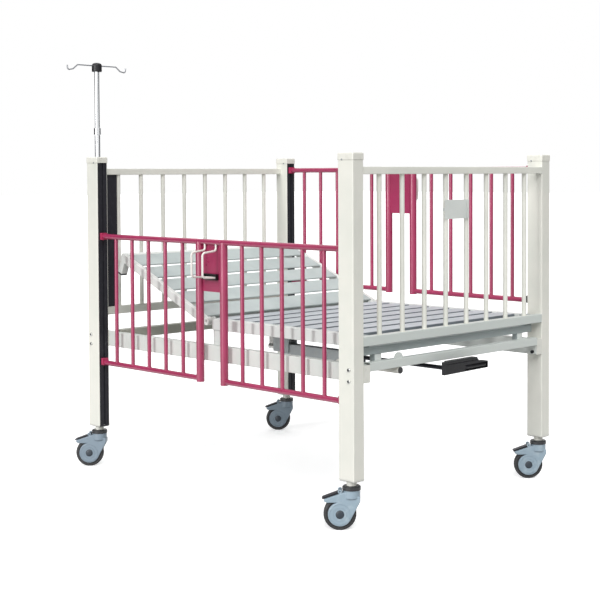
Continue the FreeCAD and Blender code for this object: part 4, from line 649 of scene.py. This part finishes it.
@dataclass
class Repetition:
    """A Geometry Nodes tree that puts one small shape on each of a set of points.

    The points are the vertices of the mesh that the tree is given. Each carries the direction
    in which its shape faces, in an attribute. The sizes are the tree's named inputs.
    """

    name: str
    sizes: dict[str, float]

    def shape(self, tree: Tree, size: Any) -> Socket:
        """Return the geometry of one shape, drawn about the origin and facing +Z."""
        raise NotImplementedError

    def sweep(self, tree: Tree, path: Node, sides: int, radius: Socket) -> Socket:
        """Sweep a small polygon along a path, with closed ends.

        Args:
            tree: The tree to draw in.
            path: The node that draws the path.
            sides: The polygon's sides.
            radius: Its radius.

        Returns:
            The swept geometry.
        """
        inputs = {"Resolution": sides, "Radius": radius}
        profile = add(tree, "GeometryNodeCurvePrimitiveCircle", inputs).outputs[0]
        inputs = {"Curve": path.outputs[0], "Profile Curve": profile, "Fill Caps": True}
        return add(tree, "GeometryNodeCurveToMesh", inputs).outputs[0]

    def tree(self) -> Tree:
        """Build the tree, with one named input for each size.

        Returns:
            The tree.
        """
        tree = bpy.data.node_groups.new(self.name, "GeometryNodeTree")
        face = tree.interface
        face.new_socket("Geometry", in_out="INPUT", socket_type="NodeSocketGeometry")
        for name, size in self.sizes.items():
            socket = face.new_socket(name, in_out="INPUT", socket_type="NodeSocketFloat")
            socket.default_value = size
        face.new_socket("Finish", in_out="INPUT", socket_type="NodeSocketMaterial")
        face.new_socket("Geometry", in_out="OUTPUT", socket_type="NodeSocketGeometry")
        given = add(tree, "NodeGroupInput").outputs
        kind = "GeometryNodeInputNamedAttribute"
        facing = add(tree, kind, {"Name": FACING}, data_type="FLOAT_VECTOR").outputs[0]
        turned = add(tree, "FunctionNodeAlignRotationToVector", {"Vector": facing}, axis="Z")
        inputs = {
            "Points": given["Geometry"],
            "Instance": self.shape(tree, given),
            "Rotation": turned.outputs[0],
        }
        copies = add(tree, "GeometryNodeInstanceOnPoints", inputs)
        real = add(tree, "GeometryNodeRealizeInstances", {"Geometry": copies.outputs[0]})
        inputs = {"Geometry": real.outputs[0], "Material": given["Finish"]}
        dressed = add(tree, "GeometryNodeSetMaterial", inputs)
        add(tree, "NodeGroupOutput", {"Geometry": dressed.outputs[0]})
        return tree

    def realise(self, points: Places, finish: bpy.types.Material) -> bpy.types.Mesh:
        """Evaluate the tree on points and return the plain mesh.

        Args:
            points: Each shape's place, and the direction in which it faces.
            finish: Its material.

        Returns:
            A mesh in the row frame.
        """
        seed = bpy.data.meshes.new(f"{self.name} points")
        seed.from_pydata([place for place, _ in points], [], [])
        facing = seed.attributes.new(FACING, "FLOAT_VECTOR", "POINT")
        facing.data.foreach_set("vector", [part for _, way in points for part in way])
        maker = link_new(self.name, seed)
        modifier = maker.modifiers.new(self.name, "NODES")
        modifier.node_group = self.tree()
        given = {**self.sizes, "Finish": finish}
        for socket in modifier.node_group.interface.items_tree:
            if socket.in_out == "INPUT" and socket.name in given:
                modifier[socket.identifier] = given[socket.name]
        bpy.context.view_layer.update()
        graph = bpy.context.evaluated_depsgraph_get()
        mesh = bpy.data.meshes.new_from_object(maker.evaluated_get(graph))
        bpy.data.objects.remove(maker)
        return mesh


class SaddleWeld(Repetition):
    """Bead where a bar meets a tube: a ring that follows the saddle between them.

    Sizes are the bar's radius, the tube's radius (0 for a flat face) and the bead's radius. The
    point is on the tube's axis, or on the flat face, and the bar leaves along the facing.
    """

    steps: ClassVar[int] = 28
    bead_sides: ClassVar[int] = 7

    def shape(self, tree: Tree, size: Any) -> Socket:
        """Bend a circle onto the tube and sweep a bead along it.

        Args:
            tree: The tree to draw in.
            size: Its inputs by name.

        Returns:
            The bead's geometry.
        """
        inputs = {"Resolution": self.steps, "Radius": size["Bar"]}
        ring = add(tree, "GeometryNodeCurvePrimitiveCircle", inputs)
        place = add(tree, "GeometryNodeInputPosition").outputs[0]
        y = add(tree, "ShaderNodeSeparateXYZ", {0: place}).outputs["Y"]
        tube_square, y_square = (
            add(tree, "ShaderNodeMath", {0: length, 1: 2.0}, operation="POWER").outputs[0]
            for length in (size["Tube"], y)
        )
        inputs = {0: tube_square, 1: y_square}
        left = add(tree, "ShaderNodeMath", inputs, operation="SUBTRACT").outputs[0]
        above = add(tree, "ShaderNodeMath", {0: left, 1: 0.0}, operation="MAXIMUM").outputs[0]
        height = add(tree, "ShaderNodeMath", {0: above}, operation="SQRT").outputs[0]
        offset = add(tree, "ShaderNodeCombineXYZ", {"Z": height})
        inputs = {"Geometry": ring.outputs[0], "Offset": offset.outputs[0]}
        bent = add(tree, "GeometryNodeSetPosition", inputs)
        return self.sweep(tree, bent, self.bead_sides, size["Bead"])


class SocketScrew(Repetition):
    """Low round screw head with a hexagon socket.

    Sizes are its radius and its height. Shares of them give the radius of its top and of the
    socket, and the length of the key that cuts the socket and the height of the key's middle.
    """

    sides: ClassVar[int] = 24
    corners: ClassVar[int] = 6
    shares: ClassVar[dict[str, tuple[str, float]]] = {
        "top": ("Radius", 0.8),
        "socket": ("Radius", 0.5),
        "key": ("Height", 3.0),
        "middle": ("Height", 1.8),
    }

    def shape(self, tree: Tree, size: Any) -> Socket:
        """Cut a hexagon out of a tapered disc.

        Args:
            tree: The tree to draw in.
            size: Its inputs by name.

        Returns:
            The head's geometry.
        """
        part = {}
        for name, (of, share) in self.shares.items():
            inputs = {0: size[of], 1: share}
            part[name] = add(tree, "ShaderNodeMath", inputs, operation="MULTIPLY").outputs[0]
        inputs = {"Vertices": self.sides, "Radius Top": part["top"]}
        inputs |= {"Radius Bottom": size["Radius"], "Depth": size["Height"]}
        head = add(tree, "GeometryNodeMeshCone", inputs)
        inputs = {"Vertices": self.corners, "Radius": part["socket"], "Depth": part["key"]}
        key = add(tree, "GeometryNodeMeshCylinder", inputs)
        lift = add(tree, "ShaderNodeCombineXYZ", {"Z": part["middle"]})
        inputs = {"Geometry": key.outputs[0], "Translation": lift.outputs[0]}
        raised = add(tree, "GeometryNodeTransform", inputs)
        inputs = {"Mesh 1": head.outputs[0], "Mesh 2": raised.outputs[0]}
        return add(tree, "GeometryNodeMeshBoolean", inputs).outputs[0]


class Ring(Repetition):
    """Thin raised ring that faces along its own axis; sizes are its radius and its bead's."""

    steps: ClassVar[int] = 48
    bead_sides: ClassVar[int] = 8

    def shape(self, tree: Tree, size: Any) -> Socket:
        """Sweep a small circle round a large one.

        Args:
            tree: The tree to draw in.
            size: Its inputs by name.

        Returns:
            The ring's geometry.
        """
        inputs = {"Resolution": self.steps, "Radius": size["Radius"]}
        path = add(tree, "GeometryNodeCurvePrimitiveCircle", inputs)
        return self.sweep(tree, path, self.bead_sides, size["Bead"])


class Thread(Repetition):
    """Rolled screw thread: a triangular ridge on a helix that climbs along its facing.

    Sizes are the helix's radius, its pitch and its length, and the ridge's radius.
    """

    steps: ClassVar[int] = 20
    ridge_sides: ClassVar[int] = 3

    def shape(self, tree: Tree, size: Any) -> Socket:
        """Sweep a triangle along a spiral of constant radius.

        Args:
            tree: The tree to draw in.
            size: Its inputs by name.

        Returns:
            The thread's geometry.
        """
        inputs = {0: size["Length"], 1: size["Pitch"]}
        turns = add(tree, "ShaderNodeMath", inputs, operation="DIVIDE").outputs[0]
        inputs = {"Resolution": self.steps, "Rotations": turns, "Height": size["Length"]}
        inputs |= {"Start Radius": size["Radius"], "End Radius": size["Radius"]}
        helix = add(tree, "GeometryNodeCurveSpiral", inputs)
        return self.sweep(tree, helix, self.ridge_sides, size["Ridge"])


# ---- sub-assemblies


def middle_y() -> float:
    """Return the middle of the frame across the cot, half way between the side rails."""
    sides = [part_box(f"{side}_rail_grid") for side in ("near", "far")]
    return sum(corner.y for side in sides for corner in side) / 4


@dataclass
class EndPanels:
    """Weld seams of the two barred end panels."""

    bar: float = 8.5 * MM
    bead: float = 1.3 * MM
    face: float = 751 * MM
    depth: float = 30 * MM
    levels: tuple[float, float] = (643 * MM, 1183 * MM)
    pitch: float = 115 * MM
    bars: int = 8

    def points(self, side: int) -> Places:
        """Return the seams' places on one panel, facing along the bars.

        Args:
            side: 1 for the foot end, -1 for the head end.

        Returns:
            The lower and the upper end of each bar.
        """
        x = side * (self.face - self.depth / 2)
        first = middle_y() - self.pitch * (self.bars - 1) / 2
        ys = [first + index * self.pitch for index in range(self.bars)]
        ends = tuple(zip(self.levels, (UP, DOWN)))
        return [(Vector((x, y, level)), way) for y in ys for level, way in ends]

    def build(self) -> None:
        """Make the seams of both panels as one piece."""
        weld = SaddleWeld("bar weld", {"Bar": self.bar, "Tube": 0.0, "Bead": self.bead})
        finish = WELD_IVORY.material()
        mesh = weld.realise(self.points(1) + self.points(-1), finish)
        keep_mesh("end_panel_weld_seams", mesh, Body.FRAME.value, finish)


@dataclass
class SideRail:
    """Weld seams of one sliding side rail."""

    side: str
    body: Body
    drop: float = 510 * MM
    top_radius: float = 10.5 * MM
    low_radius: float = 10 * MM
    bar: float = 7.5 * MM
    first: float = 170 * MM
    pitch: float = 105 * MM
    bars: int = 5
    bead: float = 1.2 * MM

    def axis(self) -> tuple[float, float]:
        """Return the top tube's place across the cot and its height."""
        low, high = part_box(f"{self.side}_rail_grid")
        return (low.y + high.y) / 2, high.z - self.top_radius

    def rows(self) -> list[tuple[float, Places]]:
        """Find the seams under the top tube and those on the low tube.

        Returns:
            The tube's radius and the seams' places, for each of the two rows.
        """
        y, top = self.axis()
        low = top - self.drop
        xs = [sign * (self.first + i * self.pitch) for sign in (-1, 1) for i in range(self.bars)]
        return [
            (self.top_radius, [(Vector((x, y, top)), DOWN) for x in xs]),
            (self.low_radius, [(Vector((x, y, low)), UP) for x in xs]),
        ]

    def seams(self, tube: float, places: Places) -> bpy.types.Mesh:
        """Make one row of seams.

        Args:
            tube: The tube's radius.
            places: The seams' places.

        Returns:
            The row's mesh.
        """
        sizes = {"Bar": self.bar, "Tube": tube, "Bead": self.bead}
        weld = SaddleWeld(f"{self.side} rail weld", sizes)
        return weld.realise(places, WELD_RASPBERRY.material())

    def build(self) -> None:
        """Make the seams, joined to one piece that rides on the rail."""
        mesh = joined("seams", (self.seams(tube, places) for tube, places in self.rows()))
        name = f"{self.side}_rail_weld_seams"
        keep_mesh(name, mesh, self.body.value, WELD_RASPBERRY.material())


@dataclass
class PostCaps:
    """Grub screws that hold the post caps, two on each."""

    across: float = 701 * MM
    height: float = 1232 * MM
    proud: float = 1.2 * MM
    radius: float = 3.4 * MM
    half_width: float = 26.5 * MM
    post_y: float = POST_Y

    def build(self) -> None:
        """Put a screw on both sides of each cap."""
        points = []
        middle = middle_y()
        for corner in Corner:
            for face in (-1, 1):
                y = middle + corner.y_side * self.post_y + face * self.half_width
                place = Vector((corner.x_side * self.across, y, self.height))
                points.append((place, Vector((0, face, 0))))
        screws = SocketScrew("cap screw", {"Radius": self.radius, "Height": self.proud})
        finish = DARK_ZINC.material()
        mesh = screws.realise(points, finish)
        keep_mesh("post_cap_screws", mesh, Body.FRAME.value, finish)


@dataclass
class FrameBolts:
    """Dark hexagon sockets in the domed heads of the frame's bolts: black discs of painted shade
    that stand for the shaded socket recesses.
    """

    across: float = 730 * MM
    heights: tuple[float, float] = (499 * MM, 537 * MM)
    face: float = 549.5 * MM
    radius: float = 4.4 * MM
    proud: float = 1.0 * MM

    def build(self) -> None:
        """Put a socket on each head."""
        points = []
        middle = middle_y()
        for corner in Corner:
            y = middle + corner.y_side * self.face
            for height in self.heights:
                place = Vector((corner.x_side * self.across, y, height))
                points.append((place, Vector((0, corner.y_side, 0))))
        sockets = SocketScrew("bolt socket shade", {"Radius": self.radius, "Height": self.proud})
        # Painted shade: each black disc stands for the dark recess of a bolt's socket.
        finish = BLACK_NYLON.material()
        mesh = sockets.realise(points, finish)
        keep_mesh("frame_bolt_sockets", mesh, Body.FRAME.value, finish)


@dataclass
class StripEdges:
    """Flat lips along both sides of each guide strip, which hide the edges of the post's slot."""

    face: float = 681 * MM
    post_y: float = POST_Y
    inner: float = 15.6 * MM
    outer: float = 21.6 * MM
    proud: float = 0.9 * MM
    broken: float = 0.5 * MM
    low: float = 171 * MM
    high: float = 1230.6 * MM
    tail_round: float = 8 * MM
    tail_turn: float = math.radians(75)
    tail_steps: int = 5

    def outline(self, y: float, side: int) -> list[tuple[float, float]]:
        """Draw a lip's section, with its free outer corner broken.

        Args:
            y: The post's place across the cot.
            side: 1 for the far lip, -1 for the near one.

        Returns:
            The section's points, along and across the cot.
        """
        near, far = self.inner * side, self.outer * side
        return [
            (0.0, y + near),
            (-self.proud, y + near),
            (-self.proud, y + far - side * self.broken),
            (-self.proud + self.broken, y + far),
            (0.0, y + far),
        ]

    def lip(self, shape: bmesh.types.BMesh, x_side: int, y: float, side: int) -> None:
        """Run one lip up a post.

        Args:
            shape: The shape to add it to.
            x_side: 1 at the foot end, -1 at the head end.
            y: The post's place across the cot.
            side: 1 for the far lip, -1 for the near one.
        """
        section = self.outline(y, side)
        low, high = (
            [shape.verts.new((x_side * (self.face + depth), width, z)) for depth, width in section]
            for z in (self.low, self.high)
        )
        shape.faces.new(low)
        shape.faces.new(high)
        for i, j in around(len(section)):
            shape.faces.new((low[i], low[j], high[j], high[i]))

    def tail(self, shape: bmesh.types.BMesh, x_side: int, y: float) -> None:
        """Curl the strip's end round the foot cap's edge.

        Args:
            shape: The shape to add it to.
            x_side: 1 at the foot end, -1 at the head end.
            y: The post's place across the cot.
        """
        rows = []
        for step in range(self.tail_steps + 1):
            turn = self.tail_turn * step / self.tail_steps
            for depth in (self.tail_round + self.proud, self.tail_round - self.proud):
                x = x_side * (self.face + self.tail_round - depth * math.cos(turn))
                z = self.low - depth * math.sin(turn)
                rows.append([shape.verts.new((x, y + side * self.outer, z)) for side in (-1, 1)])
        outer, inner = rows[::2], rows[1::2]
        for sheet in (outer, inner):
            for near, far in zip(sheet, sheet[1:]):
                shape.faces.new((near[0], near[1], far[1], far[0]))
        for side in (0, 1):
            for i, j in around(len(outer))[:-1]:
                shape.faces.new((outer[i][side], outer[j][side], inner[j][side], inner[i][side]))
        for end in (0, -1):
            shape.faces.new((outer[end][0], outer[end][1], inner[end][1], inner[end][0]))

    def build(self) -> None:
        """Run two lips up each post, and curl the strip's end below them."""
        shape = bmesh.new()
        middle = middle_y()
        for corner in Corner:
            y = middle + corner.y_side * self.post_y
            for side in (-1, 1):
                self.lip(shape, corner.x_side, y, side)
            self.tail(shape, corner.x_side, y)
        bmesh.ops.recalc_face_normals(shape, faces=shape.faces)
        mesh = to_mesh("lips", shape)
        finish = BLACK_NYLON.material()
        keep_mesh("guide_strip_edges", mesh, Body.FRAME.value, finish)


@dataclass
class LeadScrewThread:
    """Rolled thread on the lead screw."""

    radius: float = 6.9 * MM
    ridge: float = 1.1 * MM
    pitch: float = 8 * MM
    start: float = 32 * MM
    length: float = 320 * MM
    across: float = -140 * MM
    height: float = 508 * MM

    def build(self) -> None:
        """Wind the thread along the screw."""
        sizes = {"Radius": self.radius, "Ridge": self.ridge}
        sizes |= {"Pitch": self.pitch, "Length": self.length}
        finish = ZINC.material()
        place = Vector((self.start, middle_y() + self.across, self.height))
        mesh = Thread("lead screw thread", sizes).realise([(place, Vector((1, 0, 0)))], finish)
        keep_mesh("lead_screw_thread", mesh, Body.CRANK.value, finish)


@dataclass
class Caster:
    """Hub caps and disc rings of one caster.

    Under its crown, a cap's profile gives radii and heights in millimetres.
    """

    corner: Corner
    post_x: float = 716 * MM
    post_y: float = POST_Y
    trail: float = 39 * MM
    heading: float = math.radians(224.3)
    axle: float = 55 * MM
    fork_half: float = 22 * MM
    rings: tuple[float, float] = (22 * MM, 34 * MM)
    ring_bead: float = 0.9 * MM
    crown: float = 4.4 * MM
    cap_profile: tuple[tuple[float, float], ...] = (
        (5.6, 4.2), (10.0, 3.5), (12.8, 2.3), (14.3, 0.6), (14.5, -0.4),
    )
    cap_sides: int = 32

    def centre(self) -> Vector:
        """Find the wheel's centre, which trails behind the stem.

        Returns:
            The centre.
        """
        way = Vector((math.cos(self.heading), math.sin(self.heading), 0))
        y = middle_y() + self.corner.y_side * self.post_y
        return Vector((self.corner.x_side * self.post_x, y, self.axle)) + way * self.trail

    def axle_ends(self) -> Places:
        """Return where the axle meets the fork's outer faces, facing outwards."""
        across = Vector((-math.sin(self.heading), math.cos(self.heading), 0))
        return [(self.centre() + across * side * self.fork_half, across * side) for side in (-1, 1)]

    def turn_cap(self, shape: bmesh.types.BMesh, place: Matrix) -> None:
        """Turn one domed cap, closed behind.

        Args:
            shape: The shape to add it to.
            place: Moves a cap that faces +Z at the origin to its end of the axle.
        """
        angles = [2 * math.pi * i / self.cap_sides for i in range(self.cap_sides)]
        top = shape.verts.new(place @ Vector((0, 0, self.crown)))
        loops = []
        for radius, height in self.cap_profile:
            ring = [(radius * MM * math.cos(a), radius * MM * math.sin(a)) for a in angles]
            loops.append([shape.verts.new(place @ Vector((x, y, height * MM))) for x, y in ring])
        for i, j in around(self.cap_sides):
            shape.faces.new((top, loops[0][i], loops[0][j]))
            for inner, outer in zip(loops, loops[1:]):
                shape.faces.new((inner[i], outer[i], outer[j], inner[j]))
        shape.faces.new(loops[-1][::-1])

    def hub_caps(self) -> bpy.types.Mesh:
        """Cap both ends of the axle.

        Returns:
            The two caps as one mesh.
        """
        shape = bmesh.new()
        for place, way in self.axle_ends():
            turn = way.to_track_quat("Z", "Y").to_matrix().to_4x4()
            self.turn_cap(shape, Matrix.Translation(place) @ turn)
        for face in shape.faces:
            face.smooth = True
        return to_mesh("hub caps", shape)

    def ring(self, radius: float) -> bpy.types.Mesh:
        """Return a ring of a given radius on both of the fork's discs."""
        sizes = {"Radius": radius, "Bead": self.ring_bead}
        return Ring("disc ring", sizes).realise(self.axle_ends(), FORK_NYLON_HEAD_SHADE.material())

    def build(self) -> None:
        """Make the caps and the rings on the fork's discs."""
        name = self.corner.label
        body = f"{name}_swivel"
        caps = self.hub_caps()
        keep_mesh(f"{name}_axle_caps", caps, body, CAP_NYLON.material())
        rings = joined("rings", (self.ring(radius) for radius in self.rings))
        keep_mesh(f"{name}_disc_rings", rings, body, FORK_NYLON_HEAD_SHADE.material())


# ---- studio


@dataclass(frozen=True)
class Lamp:
    """A distant lamp.

    In degrees: its height above the horizon, its heading round the cot, where 0 is the near side
    and 90 the foot end, and its spread, which is how wide it looks.
    """

    name: str
    strength: float
    height: float
    heading: float
    spread: float

    def hang(self) -> None:
        """Hang the lamp."""
        light = bpy.data.lights.new(self.name, "SUN")
        light.energy = self.strength
        light.angle = math.radians(self.spread)
        turn = (math.radians(90 - self.height), 0, math.radians(self.heading))
        link_new(self.name, light).rotation_euler = Euler(turn, "XYZ")


@dataclass(frozen=True)
class Card:
    """A glowing card beside the cot that only reflections show.

    Its turn is in degrees, 0 at the foot end and 90 on the far side. Its reach is half its width.
    """

    name: str
    turn: float
    reach: float
    colour: str
    strength: float
    distance: float = 7.0
    low: float = 0.1
    high: float = 5.0

    def material(self) -> bpy.types.Material:
        """Make the card's glow.

        Returns:
            Its material.
        """
        material = bpy.data.materials.new(self.name)
        tree = empty_tree(material)
        inputs = {"Color": linear(self.colour), "Strength": self.strength}
        glow = add(tree, "ShaderNodeEmission", inputs)
        add(tree, "ShaderNodeOutputMaterial", {"Surface": glow.outputs[0]})
        return material

    def stand(self) -> None:
        """Stand the card up, hidden from all but reflections."""
        turn = math.radians(self.turn)
        way = Vector((math.cos(turn), math.sin(turn), 0))
        along = Vector((-way.y, way.x, 0)) * self.reach
        ends = (way * self.distance - along, way * self.distance + along)
        low = [end + Vector((0, 0, self.low)) for end in ends]
        high = [end + Vector((0, 0, self.high)) for end in reversed(ends)]
        mesh = bpy.data.meshes.new(self.name)
        mesh.from_pydata([*low, *high], [], [(0, 1, 2, 3)])
        mesh.materials.append(self.material())
        card = link_new(self.name.replace(" ", "_"), mesh)
        card.visible_camera = False
        card.visible_diffuse = False
        card.visible_shadow = False


@dataclass
class Studio:
    """Pale floor, soft light and the camera.

    The camera's heading, pitch and roll are in degrees, its lens and sensor in millimetres.
    """

    camera_at: tuple[float, float, float] = (3.7978, -3.6822, 1.1867)
    heading: float = 43.983
    pitch: float = 2.0
    roll: float = -0.188
    lens: float = 80.18
    sensor: float = 36.0
    shift: tuple[float, float] = (-0.0953, -0.1337)
    view_reach: float = 200.0
    sky: float = 0.4
    floor_reach: float = 60.0
    floor_seen: str = "F7F7F7"
    floor_bounce: str = "A8A8A8"
    floor_glow: float = 0.45
    lamps: tuple[Lamp, ...] = (
        Lamp("key", 1.45, 22.0, 0.0, 14.0),
        Lamp("fill", 1.75, 42.0, 55.0, 30.0),
        Lamp("back fill", 0.5, 48.0, 225.0, 40.0),
    )
    cards: tuple[Card, ...] = (
        Card("dark card left", 203.0, 4.9, "303236", 1.0),
        Card("dark card right", 58.0, 4.5, "303236", 1.0),
        Card("bright card", -90.0, 1.8, "FFFFFF", 8.0),
    )

    def seen(self, tree: Tree) -> Socket:
        """Tell the rays that show the background: camera, glossy and transmission.

        Args:
            tree: The tree to work in.

        Returns:
            1 for such a ray, 0 for any other.
        """
        path = add(tree, "ShaderNodeLightPath").outputs
        inputs = {0: path["Is Camera Ray"], 1: path["Is Glossy Ray"]}
        pair = add(tree, "ShaderNodeMath", inputs, operation="MAXIMUM")
        inputs = {0: pair.outputs[0], 1: path["Is Transmission Ray"]}
        return add(tree, "ShaderNodeMath", inputs, operation="MAXIMUM").outputs[0]

    def world(self) -> None:
        """Light softly from all round, and show plain white behind."""
        world = bpy.data.worlds.new("studio")
        tree = empty_tree(world)
        soft, white = (
            add(tree, "ShaderNodeBackground", {"Color": linear("FFFFFF"), "Strength": strength})
            for strength in (self.sky, 1.0)
        )
        inputs = {0: self.seen(tree), 1: soft.outputs[0], 2: white.outputs[0]}
        mix = add(tree, "ShaderNodeMixShader", inputs)
        add(tree, "ShaderNodeOutputWorld", {"Surface": mix.outputs[0]})
        bpy.context.scene.world = world

    def floor_material(self) -> bpy.types.Material:
        """Make a matt white that keeps the shadow and bounces little light.

        Returns:
            Its material.
        """
        material = bpy.data.materials.new("matt white floor")
        tree = empty_tree(material)
        matt = add(tree, "ShaderNodeBsdfDiffuse", {"Color": linear(self.floor_seen)})
        dim = add(tree, "ShaderNodeBsdfDiffuse", {"Color": linear(self.floor_bounce)})
        inputs = {"Color": linear("FFFFFF"), "Strength": self.floor_glow}
        glow = add(tree, "ShaderNodeEmission", inputs)
        lit = add(tree, "ShaderNodeAddShader", {0: matt.outputs[0], 1: glow.outputs[0]})
        inputs = {0: self.seen(tree), 1: dim.outputs[0], 2: lit.outputs[0]}
        mix = add(tree, "ShaderNodeMixShader", inputs)
        add(tree, "ShaderNodeOutputMaterial", {"Surface": mix.outputs[0]})
        return material

    def floor(self) -> None:
        """Lay the floor."""
        mesh = bpy.data.meshes.new("floor")
        signs = ((-1, -1), (1, -1), (1, 1), (-1, 1))
        corners = [(x * self.floor_reach, y * self.floor_reach, 0) for x, y in signs]
        mesh.from_pydata(corners, [], [(0, 1, 2, 3)])
        mesh.materials.append(self.floor_material())
        link_new("studio_floor", mesh)

    def camera(self) -> None:
        """Stand the camera in front of the foot end and the near side."""
        data = bpy.data.cameras.new("camera")
        data.lens = self.lens
        data.sensor_width = self.sensor
        data.shift_x, data.shift_y = self.shift
        data.clip_end = self.view_reach
        camera = link_new("camera", data)
        camera.location = Vector(self.camera_at) + Vector((0, middle_y(), 0))
        turn = Euler((math.radians(90 - self.pitch), 0, math.radians(self.heading)), "XYZ")
        roll = Matrix.Rotation(math.radians(self.roll), 3, "Z")
        camera.rotation_euler = (turn.to_matrix() @ roll).to_euler("XYZ")
        bpy.context.scene.camera = camera

    def build(self) -> None:
        """Set up light, floor and camera."""
        self.world()
        self.floor()
        for lamp in self.lamps:
            lamp.hang()
        for card in self.cards:
            card.stand()
        self.camera()
        bpy.context.scene.view_settings.view_transform = "Standard"


def main() -> None:
    """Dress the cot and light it."""
    logging.basicConfig(level=logging.INFO, format="%(name)s: %(message)s")
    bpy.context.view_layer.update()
    dress_nodes()
    EndPanels().build()
    SideRail("near", Body.NEAR_RAIL).build()
    SideRail("far", Body.FAR_RAIL).build()
    PostCaps().build()
    FrameBolts().build()
    StripEdges().build()
    LeadScrewThread().build()
    for corner in Corner:
        Caster(corner).build()
    Studio().build()


if __name__ == "__main__":
    main()
